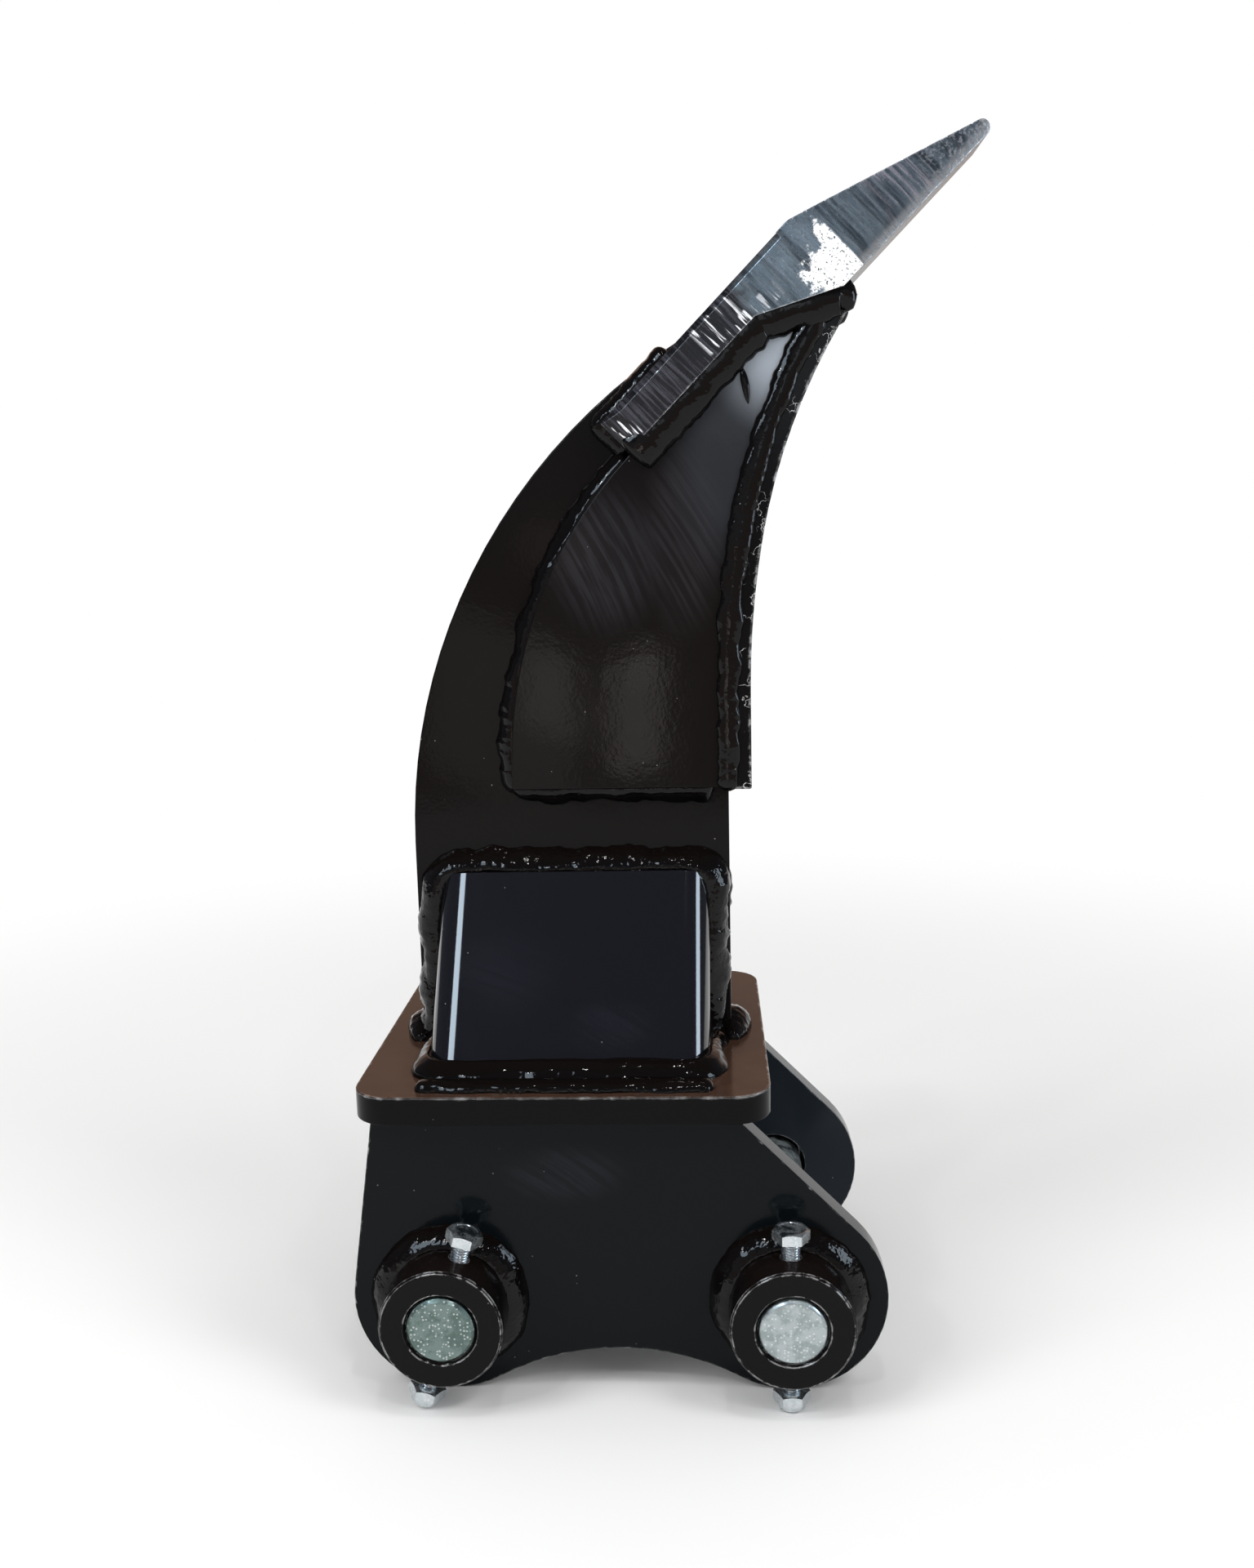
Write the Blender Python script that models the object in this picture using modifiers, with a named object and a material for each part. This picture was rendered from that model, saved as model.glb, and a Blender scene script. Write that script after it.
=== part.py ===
"""Ripper shank with a forked tooth, on a hitch plate with two pinned ears.

Sizes are in metres and Z is up. X runs across the side view, towards the tooth's
tip, and Y runs from the front ear to the rear one. Places are measured from the
floor, midway between the two hitch pins and in the shank's middle plane. One empty
then carries the whole part to the middle of its own footprint.
"""

import math

import bmesh
import bpy
from mathutils import Matrix, Vector

PART_NAME = "ripper_shank_tooth"

# Fits
SEAT = 0.0003
SLOT_FIT = 0.0005
PIN_FIT = 0.0005
BOLT_FIT = 0.0003

# Hitch pins
PIN_SPACING = 0.180
PIN_D = 0.035
PIN_CHAMFER = 0.0015
PIN_PROUD = 0.001

# Bosses on the outside of the ears
BOSS_D = 0.0645
BOSS_LENGTH = 0.033
BOSS_MOUTH = 0.0015
BOSS_EDGE = 0.001
BOSS_WELD_LEG = 0.0095
BOSS_WELD_BELLY = 0.6

# Ears
EAR_THICKNESS = 0.016
EAR_GAP = 0.150
EAR_BORE_D = 0.040
LOBE_R = 0.052
EAR_BACK_LEAN = math.radians(8.2)
EAR_NOSE_SLOPE = math.radians(45.0)
ARCH_RISE = 0.0232
EAR_WELD_LEG = 0.006

# Hitch plate
PLATE_HEIGHT = 0.156
PLATE_THICKNESS = 0.015
PLATE_LENGTH = 0.216
PLATE_DEPTH = 0.216
PLATE_CENTRE_X = -0.027
PLATE_CORNER_R = 0.020
PLATE_EDGE = 0.001

# Retaining bolts and their nuts
BOLT_D = 0.010
BOLT_SETBACK = 0.0175
BOLT_HEAD_STANDOFF = 0.009
BOLT_HEAD_HEIGHT = 0.0064
BOLT_END_SHORT = 0.0015
BOLT_LEFT_LEAN = math.radians(15.0)
HEX_ACROSS_FLATS = 0.017
HEX_CHAMFER = 0.0009
HEX_CHAMFER_ANGLE = math.radians(30.0)
HEX_FACE_SHARE = 0.95
NUT_HEIGHT = 0.0097
NUT_COLLAR_HEIGHT = 0.0024
NUT_COLLAR_D = 0.0150
NUT_FLOOR_GAP = 0.0005

# Shank
SHANK_THICKNESS = 0.028
SHANK_BACK_X = -0.113
SHANK_BEND_HEIGHT = 0.284
SHANK_BACK_R = 0.310
FOOT_WELD_REACH = 0.012
FOOT_WELD_OVERHANG = 0.010
FOOT_WELD_TAPER = 0.65

# Wear bar on the shank's hollow edge
BAR_X = 0.075
BAR_THICKNESS = 0.012
BAR_WIDTH = 0.050
BAR_FOOT_DROP = 0.001
BAR_STRAIGHT = 0.054
BAR_LOWER_R = 0.463
BAR_LOWER_TURN = math.radians(10.1)
BAR_UPPER_R = 0.312
BAR_TOP_GAP = 0.005
BAR_WELD_REACH = 0.0065
BAR_WELD_RISE = 0.0035

# Cheek plates
CHEEK_THICKNESS = 0.010
CHEEK_GUSSET_GAP = 0.0445
CHEEK_BACK_X = -0.056
CHEEK_BACK_R = 0.236
CHEEK_BAR_GAP = 0.002
CHEEK_WELD_REACH = 0.0085
CHEEK_WELD_RISE = 0.008
CHEEK_WELD_START = math.radians(1.5)

# Forked tooth, measured along and across itself from the foot of its leg
TOOTH_FOOT_X = 0.0126
TOOTH_FOOT_HEIGHT = 0.4933
TOOTH_TILT = math.radians(45.0)
TOOTH_LEG_LENGTH = 0.0934
TOOTH_LEG_HEIGHT = 0.0209
TOOTH_LEG_THICKNESS = 0.017
TOOTH_HEEL_AT = 0.1349
TOOTH_HEEL_DROP = 0.0224
TOOTH_SHOULDER_AT = 0.1374
TOOTH_SHOULDER_R = 0.008
TOOTH_BLADE_SLOPE = math.radians(19.3)
TOOTH_NOSE_R = 0.0040
TOOTH_CREASE_AT = 0.1495
TOOTH_TIP_WIDTH = 0.048
TOOTH_FACET_HEIGHT = 0.008
TOOTH_FACET_DEPTH = 0.003
TOOTH_FACET_LEAD = 0.0005
TOOTH_TOP_CHAMFER = 0.0035
TOOTH_RAMP_LENGTH = 0.012
TOOTH_RAMP_DEPTH = 0.003
LEG_WELD_REACH = 0.013
LEG_WELD_RISE = 0.0070
LEG_END_WELD_REACH = 0.007
LEG_END_WELD_RISE = 0.008
LEG_TOP_WELD_LENGTH = 0.052

# Gussets, folded plates in front of and behind the shank's foot
GUSSET_CENTRE_X = -0.0255
GUSSET_WIDTH = 0.151
GUSSET_TOP_WIDTH = 0.1495
GUSSET_TOP_SHIFT = 0.0027
GUSSET_DEPTH = 0.065
GUSSET_HEIGHT = 0.099
GUSSET_LEAN = math.radians(26.8)
GUSSET_SHEET = 0.010
GUSSET_BEND_R = 0.016
GUSSET_BASE_WELD = 0.0095
GUSSET_SIDE_WELD_REACH = 0.0095
GUSSET_SIDE_WELD_RISE = 0.013
GUSSET_TOE_WELD_REACH = 0.007
GUSSET_TOE_WELD_RISE = 0.005

# Facets of round work
ROUND_STEPS = 48
SMALL_ROUND_STEPS = 24
CHORD_ERROR = 0.0001
ROUTE_ERROR = 0.0005
FOOT_WELD_STEPS = 6
BEAD_RESOLUTION = 2
SHARP_ANGLE = math.radians(35.0)
CUT_MARGIN = 0.005
CUT_FAR = 1.0
BEAD_BEND = 1.15
CLEAN_MERGE = 0.00005
WELD_MERGE = 0.00001

# Heights and half widths that follow from the sizes above
PIN_HALF_SPACING = PIN_SPACING / 2
PIN_HEIGHT = LOBE_R
PLATE_TOP = PLATE_HEIGHT + PLATE_THICKNESS
CHEEK_FOOT_HEIGHT = PLATE_TOP + GUSSET_HEIGHT + CHEEK_GUSSET_GAP
BAR_FOOT_HEIGHT = CHEEK_FOOT_HEIGHT - BAR_FOOT_DROP
BAR_BEND_HEIGHT = BAR_FOOT_HEIGHT + BAR_STRAIGHT
EAR_IN = EAR_GAP / 2
EAR_OUT = EAR_IN + EAR_THICKNESS
BOSS_FACE = EAR_OUT + BOSS_LENGTH
BOLT_Y = -(BOSS_FACE - BOLT_SETBACK)
SHANK_FACE = SHANK_THICKNESS / 2
CHEEK_BACK = SHANK_FACE + SEAT
CHEEK_FACE = CHEEK_BACK + CHEEK_THICKNESS
CHEEK_FRONT_INSET = BAR_THICKNESS + CHEEK_BAR_GAP
TOOTH_SLOT_FACE = SHANK_FACE + SLOT_FIT
TOOTH_FACE = TOOTH_SLOT_FACE + TOOTH_LEG_THICKNESS

BLACK_PAINT = ((0.012, 0.012, 0.014, 1.0), 0.18, 0.0)
TOOTH_PAINT = ((0.10, 0.12, 0.14, 1.0), 0.30, 0.6)
ZINC = ((0.62, 0.64, 0.62, 1.0), 0.32, 1.0)


def empty_scene():
    """Remove what the scene holds."""
    for item in list(bpy.data.objects):
        bpy.data.objects.remove(item, do_unlink=True)


def new_collection(name):
    """Return a new collection in the scene."""
    collection = bpy.data.collections.new(name)
    bpy.context.scene.collection.children.link(collection)
    return collection


empty_scene()
PARTS = new_collection(PART_NAME)
CUTTERS = new_collection(PART_NAME + "_cutters")
FRAME = bpy.data.objects.new(PART_NAME + "_frame", None)
PARTS.objects.link(FRAME)

SIDE_VIEW = Matrix.Rotation(math.pi / 2, 4, "X")


# Plane geometry

def arc(centre, radius, start, end, error=CHORD_ERROR):
    """Points on an arc, both ends included, with chords within an error of it."""
    facet = 2 * math.acos(1 - min(error / radius, 1.0))
    steps = max(2, math.ceil(abs(end - start) / facet))
    angles = [start + (end - start) * i / steps for i in range(steps + 1)]
    return [(centre[0] + radius * math.cos(a), centre[1] + radius * math.sin(a)) for a in angles]


def rounded(points, radius, closed, error=CHORD_ERROR):
    """Replace each corner of a path, or of a closed outline, by an arc."""
    count = len(points)
    result = []
    for i, point in enumerate(points):
        if not closed and i in (0, count - 1):
            result.append(point)
            continue
        corner = Vector(point)
        before = (Vector(points[i - 1]) - corner).normalized()
        after = (Vector(points[(i + 1) % count]) - corner).normalized()
        half = before.angle(after) / 2
        centre = corner + (before + after).normalized() * radius / math.sin(half)
        first = corner + before * radius / math.tan(half) - centre
        last = corner + after * radius / math.tan(half) - centre
        start = math.atan2(first.y, first.x)
        turn = math.atan2(first.cross(last), first.dot(last))
        result += arc(centre, radius, start, start + turn, error)
    return result


def moved_line(start, end, gap):
    """The line from start to end, moved to its right by gap."""
    along = (Vector(end) - Vector(start)).normalized()
    shift = Vector((along.y, -along.x)) * gap
    return Vector(start) + shift, Vector(end) + shift


def circle_meets_line(centre, radius, line, sign):
    """One of the two points where a circle crosses a line."""
    start, end = line
    along = (end - start).normalized()
    to_start = start - Vector(centre)
    b = to_start.dot(along)
    root = math.sqrt(b * b - to_start.length_squared + radius * radius)
    return start + along * (sign * root - b)


def angle_at(centre, point):
    """The angle of a point as seen from a centre."""
    return math.atan2(point[1] - centre[1], point[0] - centre[0])


def on_tooth(along, across):
    """Side view place of a point given along and across the tooth."""
    cos, sin = math.cos(TOOTH_TILT), math.sin(TOOTH_TILT)
    x = TOOTH_FOOT_X + along * cos - across * sin
    z = TOOTH_FOOT_HEIGHT + along * sin + across * cos
    return x, z


# Blender objects

def finish(item, look):
    """Give an object its own material."""
    colour, roughness, metallic = look
    material = bpy.data.materials.new(item.name)
    material.use_nodes = True
    shader = material.node_tree.nodes["Principled BSDF"]
    shader.inputs["Base Color"].default_value = colour
    shader.inputs["Roughness"].default_value = roughness
    shader.inputs["Metallic"].default_value = metallic
    material.diffuse_color = colour
    item.data.materials.clear()
    item.data.materials.append(material)


def new_object(name, mesh, placement, parent=FRAME):
    """Link a mesh as a piece, placed in its parent's space."""
    item = bpy.data.objects.new(name, mesh)
    PARTS.objects.link(item)
    item.parent = parent
    item.matrix_basis = placement
    return item


def as_cutter(item):
    """Move a piece to the cutters."""
    PARTS.objects.unlink(item)
    CUTTERS.objects.link(item)
    item.hide_render = True
    item.display_type = "WIRE"
    return item


def closed_mesh(holder):
    """Evaluate an object into a welded mesh, shaded round, and remove the object."""
    PARTS.objects.link(holder)
    bpy.context.view_layer.update()
    graph = bpy.context.evaluated_depsgraph_get()
    mesh = bpy.data.meshes.new_from_object(holder.evaluated_get(graph))
    bpy.data.objects.remove(holder)
    work = bmesh.new()
    work.from_mesh(mesh)
    bmesh.ops.remove_doubles(work, verts=work.verts, dist=WELD_MERGE)
    bmesh.ops.recalc_face_normals(work, faces=work.faces)
    work.to_mesh(mesh)
    work.free()
    mesh.shade_smooth()
    mesh.set_sharp_from_angle(angle=SHARP_ANGLE)
    return mesh


def outline_curve(name, points, closed):
    """A flat curve of straight stretches between points."""
    curve = bpy.data.curves.new(name, "CURVE")
    curve.dimensions = "2D"
    spline = curve.splines.new("POLY")
    spline.points.add(len(points) - 1)
    for target, point in zip(spline.points, points):
        target.co = (point[0], point[1], 0.0, 1.0)
    spline.use_cyclic_u = closed
    return curve


def flat_piece(name, outline, thickness, placement, parent=FRAME):
    """A plate cut to an outline, centred on the outline's plane."""
    curve = outline_curve(name, outline, closed=True)
    curve.fill_mode = "BOTH"
    curve.extrude = thickness / 2
    mesh = closed_mesh(bpy.data.objects.new(name, curve))
    return new_object(name, mesh, placement, parent)


def turned_piece(name, profile, closed, placement, steps=ROUND_STEPS, parent=FRAME):
    """A profile of (radius, height) points turned about its own Z axis."""
    work = bmesh.new()
    rim = [work.verts.new((radius, 0.0, height)) for radius, height in profile]
    for first, second in zip(rim, rim[1:]):
        work.edges.new((first, second))
    if closed:
        work.edges.new((rim[-1], rim[0]))
    mesh = bpy.data.meshes.new(name)
    work.to_mesh(mesh)
    work.free()
    holder = bpy.data.objects.new(name, mesh)
    screw = holder.modifiers.new("Turn", "SCREW")
    screw.axis = "Z"
    screw.angle = 2 * math.pi
    screw.steps = steps
    screw.render_steps = steps
    screw.use_merge_vertices = True
    screw.merge_threshold = WELD_MERGE
    return new_object(name, closed_mesh(holder), placement, parent)


def rod_profile(radius, low, high, chamfer):
    """Profile of a solid rod with chamfered ends, from its top down."""
    return [
        (0.0, high),
        (radius - chamfer, high),
        (radius, high - chamfer),
        (radius, low + chamfer),
        (radius - chamfer, low),
        (0.0, low),
    ]


def hexagon(name, low, high, parent):
    """A hexagon between two heights, with its upper corners turned off."""
    corner_r = HEX_ACROSS_FLATS / 2 / math.cos(math.pi / 6)
    face_r = HEX_ACROSS_FLATS / 2 * HEX_FACE_SHARE
    fall = math.tan(HEX_CHAMFER_ANGLE)
    blank_r = corner_r + CUT_MARGIN
    blank = turned_piece(name + "_blank", [
        (0.0, high + face_r * fall),
        (blank_r, high - (blank_r - face_r) * fall),
        (blank_r, low - CUT_MARGIN),
        (0.0, low - CUT_MARGIN),
    ], False, Matrix.Identity(4), parent=parent)
    work = bmesh.new()
    bmesh.ops.create_cone(
        work,
        cap_ends=True,
        segments=6,
        radius1=corner_r,
        radius2=corner_r,
        depth=high - low,
    )
    mesh = bpy.data.meshes.new(name)
    work.to_mesh(mesh)
    work.free()
    item = new_object(name, mesh, Matrix.Translation((0, 0, (low + high) / 2)), parent)
    use_boolean(item, as_cutter(blank), "INTERSECT")
    return item


def use_boolean(item, other, operation):
    """Add a Boolean that works on an item with another object."""
    modifier = item.modifiers.new(other.name, "BOOLEAN")
    modifier.operation = operation
    modifier.solver = "EXACT"
    modifier.object = other


def guard(item):
    """A copy of a piece, grown by the seat gap, to cut its neighbours with."""
    copy = item.copy()
    copy.name = item.name + "_guard"
    PARTS.objects.link(copy)
    grow = copy.modifiers.new("Grow", "DISPLACE")
    grow.mid_level = 0.0
    grow.strength = SEAT * math.sqrt(2)
    return as_cutter(copy)


def bead(name, route, placement, reach, rise, neighbours, radii=None):
    """A weld bead: an oval run along a joint's corner, cut by what it joins."""
    curve = outline_curve(name, route, closed=False)
    curve.bevel_depth = reach
    curve.bevel_resolution = BEAD_RESOLUTION
    curve.use_fill_caps = True
    for point, radius in zip(curve.splines[0].points, radii or []):
        point.radius = radius
    mesh = closed_mesh(bpy.data.objects.new(name, curve))
    mesh.transform(Matrix.Diagonal((1.0, 1.0, rise / reach, 1.0)))
    item = new_object(name, mesh, placement)
    for neighbour in neighbours:
        use_boolean(item, neighbour, "DIFFERENCE")
    clean = item.modifiers.new("Clean", "WELD")
    clean.merge_threshold = CLEAN_MERGE
    finish(item, BLACK_PAINT)
    return item


def block(name, low, high):
    """A box cutter between two corners."""
    work = bmesh.new()
    bmesh.ops.create_cube(work, size=1.0)
    size = Vector(high) - Vector(low)
    bmesh.ops.scale(work, vec=size, verts=work.verts)
    mesh = bpy.data.meshes.new(name)
    work.to_mesh(mesh)
    work.free()
    return as_cutter(new_object(name, mesh, Matrix.Translation((Vector(high) + Vector(low)) / 2)))


def inside_cut(name, side, distance):
    """A block that fills the far side of a plane facing out, with the seat gap."""
    near = side * (distance + SEAT)
    ys = sorted((near, -side * CUT_FAR))
    return block(name, (-CUT_FAR, ys[0], 0.0), (CUT_FAR, ys[1], CUT_FAR))


def at_side(side, distance):
    """Placement of a side view outline at a distance from the middle plane."""
    return Matrix.Translation((0, side * distance, 0)) @ SIDE_VIEW


def at_height(height):
    """Placement of a plan outline at a height above the floor."""
    return Matrix.Translation((0, 0, height))


# Hitch: ears, bosses, pins, bolts and plate

def ear_outline():
    """The ear's side view: two lobes, an arch between them and a flat top."""
    left = (-PIN_HALF_SPACING, PIN_HEIGHT)
    right = (PIN_HALF_SPACING, PIN_HEIGHT)
    drop = LOBE_R - ARCH_RISE
    arch_r = (PIN_HALF_SPACING ** 2 + drop ** 2 - LOBE_R ** 2) / (2 * ARCH_RISE)
    arch = (0.0, ARCH_RISE - arch_r)
    touch = angle_at(arch, right)
    back = math.pi - EAR_BACK_LEAN
    nose = math.pi / 2 - EAR_NOSE_SLOPE
    bottom = 1.5 * math.pi
    outline = arc(left, LOBE_R, back, bottom)
    outline += arc(left, LOBE_R, bottom, 2 * math.pi - touch)[1:]
    outline += arc(arch, arch_r, math.pi - touch, touch)[1:]
    outline += arc(right, LOBE_R, math.pi + touch, bottom)[1:]
    outline += arc(right, LOBE_R, bottom, 2 * math.pi + nose)[1:]
    back_x, back_z = outline[0]
    nose_x, nose_z = outline[-1]
    top = PLATE_HEIGHT - SEAT
    outline.append((nose_x - (top - nose_z) / math.tan(EAR_NOSE_SLOPE), top))
    outline.append((back_x + (top - back_z) * math.tan(EAR_BACK_LEAN), top))
    return outline


def along_pin(x, y):
    """Placement that lays a turned piece's axis along a pin, its top to the rear."""
    return Matrix.Translation((x, y, PIN_HEIGHT)) @ Matrix.Rotation(-math.pi / 2, 4, "X")


def make_ears():
    """Two ears, each bored for both pins."""
    bore_r = EAR_BORE_D / 2
    bores = []
    for x in (-PIN_HALF_SPACING, PIN_HALF_SPACING):
        profile = rod_profile(bore_r, -BOSS_FACE, BOSS_FACE, SEAT)
        bores.append(as_cutter(turned_piece("ear_bore", profile, False, along_pin(x, 0))))
    ears = {}
    for side, name in ((-1, "front"), (1, "rear")):
        ear = flat_piece(f"ear_{name}", ear_outline(), EAR_THICKNESS,
                         at_side(side, EAR_IN + EAR_THICKNESS / 2))
        for bore in bores:
            use_boolean(ear, bore, "DIFFERENCE")
        finish(ear, BLACK_PAINT)
        ears[side] = ear
    return ears


def boss_profile():
    """The boss's ring section, outer face first."""
    outer = BOSS_D / 2
    inner = PIN_D / 2 + PIN_FIT
    half = BOSS_LENGTH / 2
    return [
        (outer - BOSS_EDGE, half),
        (outer, half - BOSS_EDGE),
        (outer, -half + SEAT),
        (inner, -half + SEAT),
        (inner, half - BOSS_MOUTH),
        (inner + BOSS_MOUTH, half),
    ]


def boss_weld_profile():
    """The section of the fillet round a boss, from its toe on the ear."""
    root = BOSS_D / 2 + SEAT
    belly = BOSS_WELD_LEG * BOSS_WELD_BELLY
    return [
        (root, BOSS_WELD_LEG),
        (root + belly, belly),
        (root + BOSS_WELD_LEG, SEAT),
        (root, SEAT),
    ]


def facing_out(side, x, y):
    """Placement of a turned piece on a pin's axis with its top away from the middle."""
    return Matrix.Translation((x, side * y, PIN_HEIGHT)) @ Matrix.Rotation(-side * math.pi / 2, 4, "X")


def make_pins_and_bosses():
    """Pins and bosses, cross drilled at the front ends for their bolts."""
    for x, place, lean in (
        (-PIN_HALF_SPACING, "left", BOLT_LEFT_LEAN),
        (PIN_HALF_SPACING, "right", 0.0),
    ):
        across = Matrix.Translation((x, BOLT_Y, PIN_HEIGHT)) @ Matrix.Rotation(lean, 4, "Y")
        drill_r = BOLT_D / 2 + BOLT_FIT
        drill = as_cutter(turned_piece(
            f"bolt_drill_{place}", rod_profile(drill_r, -BOSS_D, BOSS_D, SEAT), False, across,
            SMALL_ROUND_STEPS))
        half = BOSS_FACE + PIN_PROUD
        pin = turned_piece(f"pin_{place}", rod_profile(PIN_D / 2, -half, half, PIN_CHAMFER),
                           False, along_pin(x, 0))
        use_boolean(pin, drill, "DIFFERENCE")
        finish(pin, ZINC)
        for side, name in ((-1, "front"), (1, "rear")):
            boss = turned_piece(f"boss_{name}_{place}", boss_profile(), True,
                                facing_out(side, x, EAR_OUT + BOSS_LENGTH / 2))
            if side < 0:
                use_boolean(boss, drill, "DIFFERENCE")
            finish(boss, BLACK_PAINT)
            weld = turned_piece(f"boss_weld_{name}_{place}", boss_weld_profile(), True,
                                facing_out(side, x, EAR_OUT))
            finish(weld, BLACK_PAINT)
        make_bolt(place, across)


def make_bolt(place, across):
    """A bolt through boss and pin, and the locking nut under it."""
    under_head = BOSS_D / 2 + BOLT_HEAD_STANDOFF
    nut_low = -(PIN_HEIGHT - NUT_FLOOR_GAP)
    nut_high = nut_low + NUT_HEIGHT
    bolt = turned_piece(
        f"bolt_{place}",
        rod_profile(BOLT_D / 2, nut_low + BOLT_END_SHORT, under_head + BOLT_HEAD_HEIGHT / 2, HEX_CHAMFER),
        False, across, SMALL_ROUND_STEPS)
    head = as_cutter(hexagon(f"bolt_{place}_head", under_head, under_head + BOLT_HEAD_HEIGHT, bolt))
    use_boolean(bolt, head, "UNION")
    finish(bolt, ZINC)
    collar_r = NUT_COLLAR_D / 2
    collar = turned_piece(
        f"nut_{place}",
        rod_profile(collar_r, nut_low, nut_high - NUT_COLLAR_HEIGHT, NUT_COLLAR_HEIGHT / 2),
        False, across, SMALL_ROUND_STEPS)
    flats = as_cutter(hexagon(f"nut_{place}_flats", nut_low + NUT_COLLAR_HEIGHT, nut_high, collar))
    hole_r = BOLT_D / 2 + BOLT_FIT
    hole = as_cutter(turned_piece(
        f"nut_{place}_hole",
        rod_profile(hole_r, nut_low - CUT_MARGIN, nut_high + CUT_MARGIN, SEAT),
        False, across, SMALL_ROUND_STEPS))
    use_boolean(collar, flats, "UNION")
    use_boolean(collar, hole, "DIFFERENCE")
    finish(collar, ZINC)


def make_plate():
    """The hitch plate that carries the shank on the two ears."""
    half_x = PLATE_LENGTH / 2
    half_y = PLATE_DEPTH / 2
    corners = [
        (PLATE_CENTRE_X - half_x, -half_y),
        (PLATE_CENTRE_X + half_x, -half_y),
        (PLATE_CENTRE_X + half_x, half_y),
        (PLATE_CENTRE_X - half_x, half_y),
    ]
    outline = rounded(corners, PLATE_CORNER_R, closed=True)
    plate = flat_piece("hitch_plate", outline, PLATE_THICKNESS,
                       at_height(PLATE_HEIGHT + PLATE_THICKNESS / 2))
    edge = plate.modifiers.new("Edge", "BEVEL")
    edge.width = PLATE_EDGE
    edge.segments = 1
    edge.limit_method = "ANGLE"
    edge.angle_limit = math.pi / 3
    finish(plate, BLACK_PAINT)
    return plate


def make_ear_welds(ears, plate):
    """A fillet under the plate along the outside of each ear."""
    outline = ear_outline()
    inset = 2 * EAR_WELD_LEG
    ends = (outline[-1][0] + inset, outline[-2][0] - inset)
    for side, name in ((-1, "front"), (1, "rear")):
        route = [(ends[0], side * EAR_OUT), (ends[1], side * EAR_OUT)]
        bead(f"ear_weld_{name}", route, at_height(PLATE_HEIGHT), EAR_WELD_LEG, EAR_WELD_LEG,
             [guard(ears[side]), guard(plate)])


# Shank, wear bar, cheeks and tooth

def heel_line(gap):
    """The tooth's heel face in side view, moved off the tooth by a gap."""
    start = on_tooth(TOOTH_LEG_LENGTH, 0.0)
    end = on_tooth(TOOTH_HEEL_AT, -TOOTH_HEEL_DROP)
    return moved_line(start, end, gap)


def bar_path(inset, foot, top_gap, error=CHORD_ERROR):
    """The wear bar's face from its foot up to the heel, moved in by an inset."""
    lower = (BAR_X + BAR_LOWER_R, BAR_BEND_HEIGHT)
    shift = BAR_LOWER_R - BAR_UPPER_R
    upper = (
        lower[0] - shift * math.cos(BAR_LOWER_TURN),
        lower[1] + shift * math.sin(BAR_LOWER_TURN),
    )
    turn = math.pi - BAR_LOWER_TURN
    top = circle_meets_line(upper, BAR_UPPER_R + inset, heel_line(top_gap), -1)
    path = [(BAR_X - inset, foot)]
    path += arc(lower, BAR_LOWER_R + inset, math.pi, turn, error)
    path += arc(upper, BAR_UPPER_R + inset, turn, angle_at(upper, top) % (2 * math.pi), error)[1:]
    return path


def make_shank():
    """The curved main plate, from the hitch plate up into the tooth's slot."""
    bend = (SHANK_BACK_X + SHANK_BACK_R, SHANK_BEND_HEIGHT)
    slot_low = Vector(on_tooth(TOOTH_LEG_LENGTH - SEAT, 0.0))
    slot_high = Vector(on_tooth(TOOTH_LEG_LENGTH - SEAT, TOOTH_LEG_HEIGHT))
    crest = circle_meets_line(bend, SHANK_BACK_R, (slot_low, slot_high), 1)
    inset = BAR_THICKNESS + SEAT
    outline = [(BAR_X - inset, PLATE_TOP + SEAT)]
    outline += bar_path(inset, BAR_FOOT_HEIGHT, SEAT)
    outline += [tuple(heel_line(SEAT)[0]), tuple(crest)]
    outline += arc(bend, SHANK_BACK_R, angle_at(bend, crest), math.pi)[1:]
    outline.append((SHANK_BACK_X, PLATE_TOP + SEAT))
    shank = flat_piece("shank", outline, SHANK_THICKNESS, at_side(1, 0))
    finish(shank, BLACK_PAINT)
    return shank


def make_wear_bar():
    """The bar that faces the shank's hollow edge, cut along the heel at its top."""
    outer = bar_path(0.0, BAR_FOOT_HEIGHT, BAR_TOP_GAP)
    inner = bar_path(BAR_THICKNESS, BAR_FOOT_HEIGHT, BAR_TOP_GAP)
    bar = flat_piece("wear_bar", outer + inner[::-1], BAR_WIDTH, at_side(1, 0))
    finish(bar, BLACK_PAINT)
    return bar


def cheek_back(skipped=0.0, error=CHORD_ERROR):
    """The cheek's back edge, down from the leg, less an angle skipped at its start."""
    leg_foot = on_tooth(0.0, -SEAT)
    x = CHEEK_BACK_X + CHEEK_BACK_R
    across = (x - leg_foot[0]) * math.sin(TOOTH_TILT) - CHEEK_BACK_R
    centre = (x, leg_foot[1] + across / math.cos(TOOTH_TILT))
    edge = arc(centre, CHEEK_BACK_R, math.pi / 2 + TOOTH_TILT + skipped, math.pi, error)
    edge.append((CHEEK_BACK_X, CHEEK_FOOT_HEIGHT))
    return edge


def make_cheeks():
    """The two plates that thicken the shank below the tooth."""
    front = bar_path(CHEEK_FRONT_INSET, CHEEK_FOOT_HEIGHT, SEAT)
    outline = cheek_back() + front + [tuple(heel_line(SEAT)[0])]
    cheeks = {}
    for side, name in ((-1, "front"), (1, "rear")):
        cheek = flat_piece(f"cheek_{name}", outline, CHEEK_THICKNESS,
                           at_side(side, CHEEK_BACK + CHEEK_THICKNESS / 2))
        finish(cheek, BLACK_PAINT)
        cheeks[side] = cheek
    return cheeks


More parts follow.
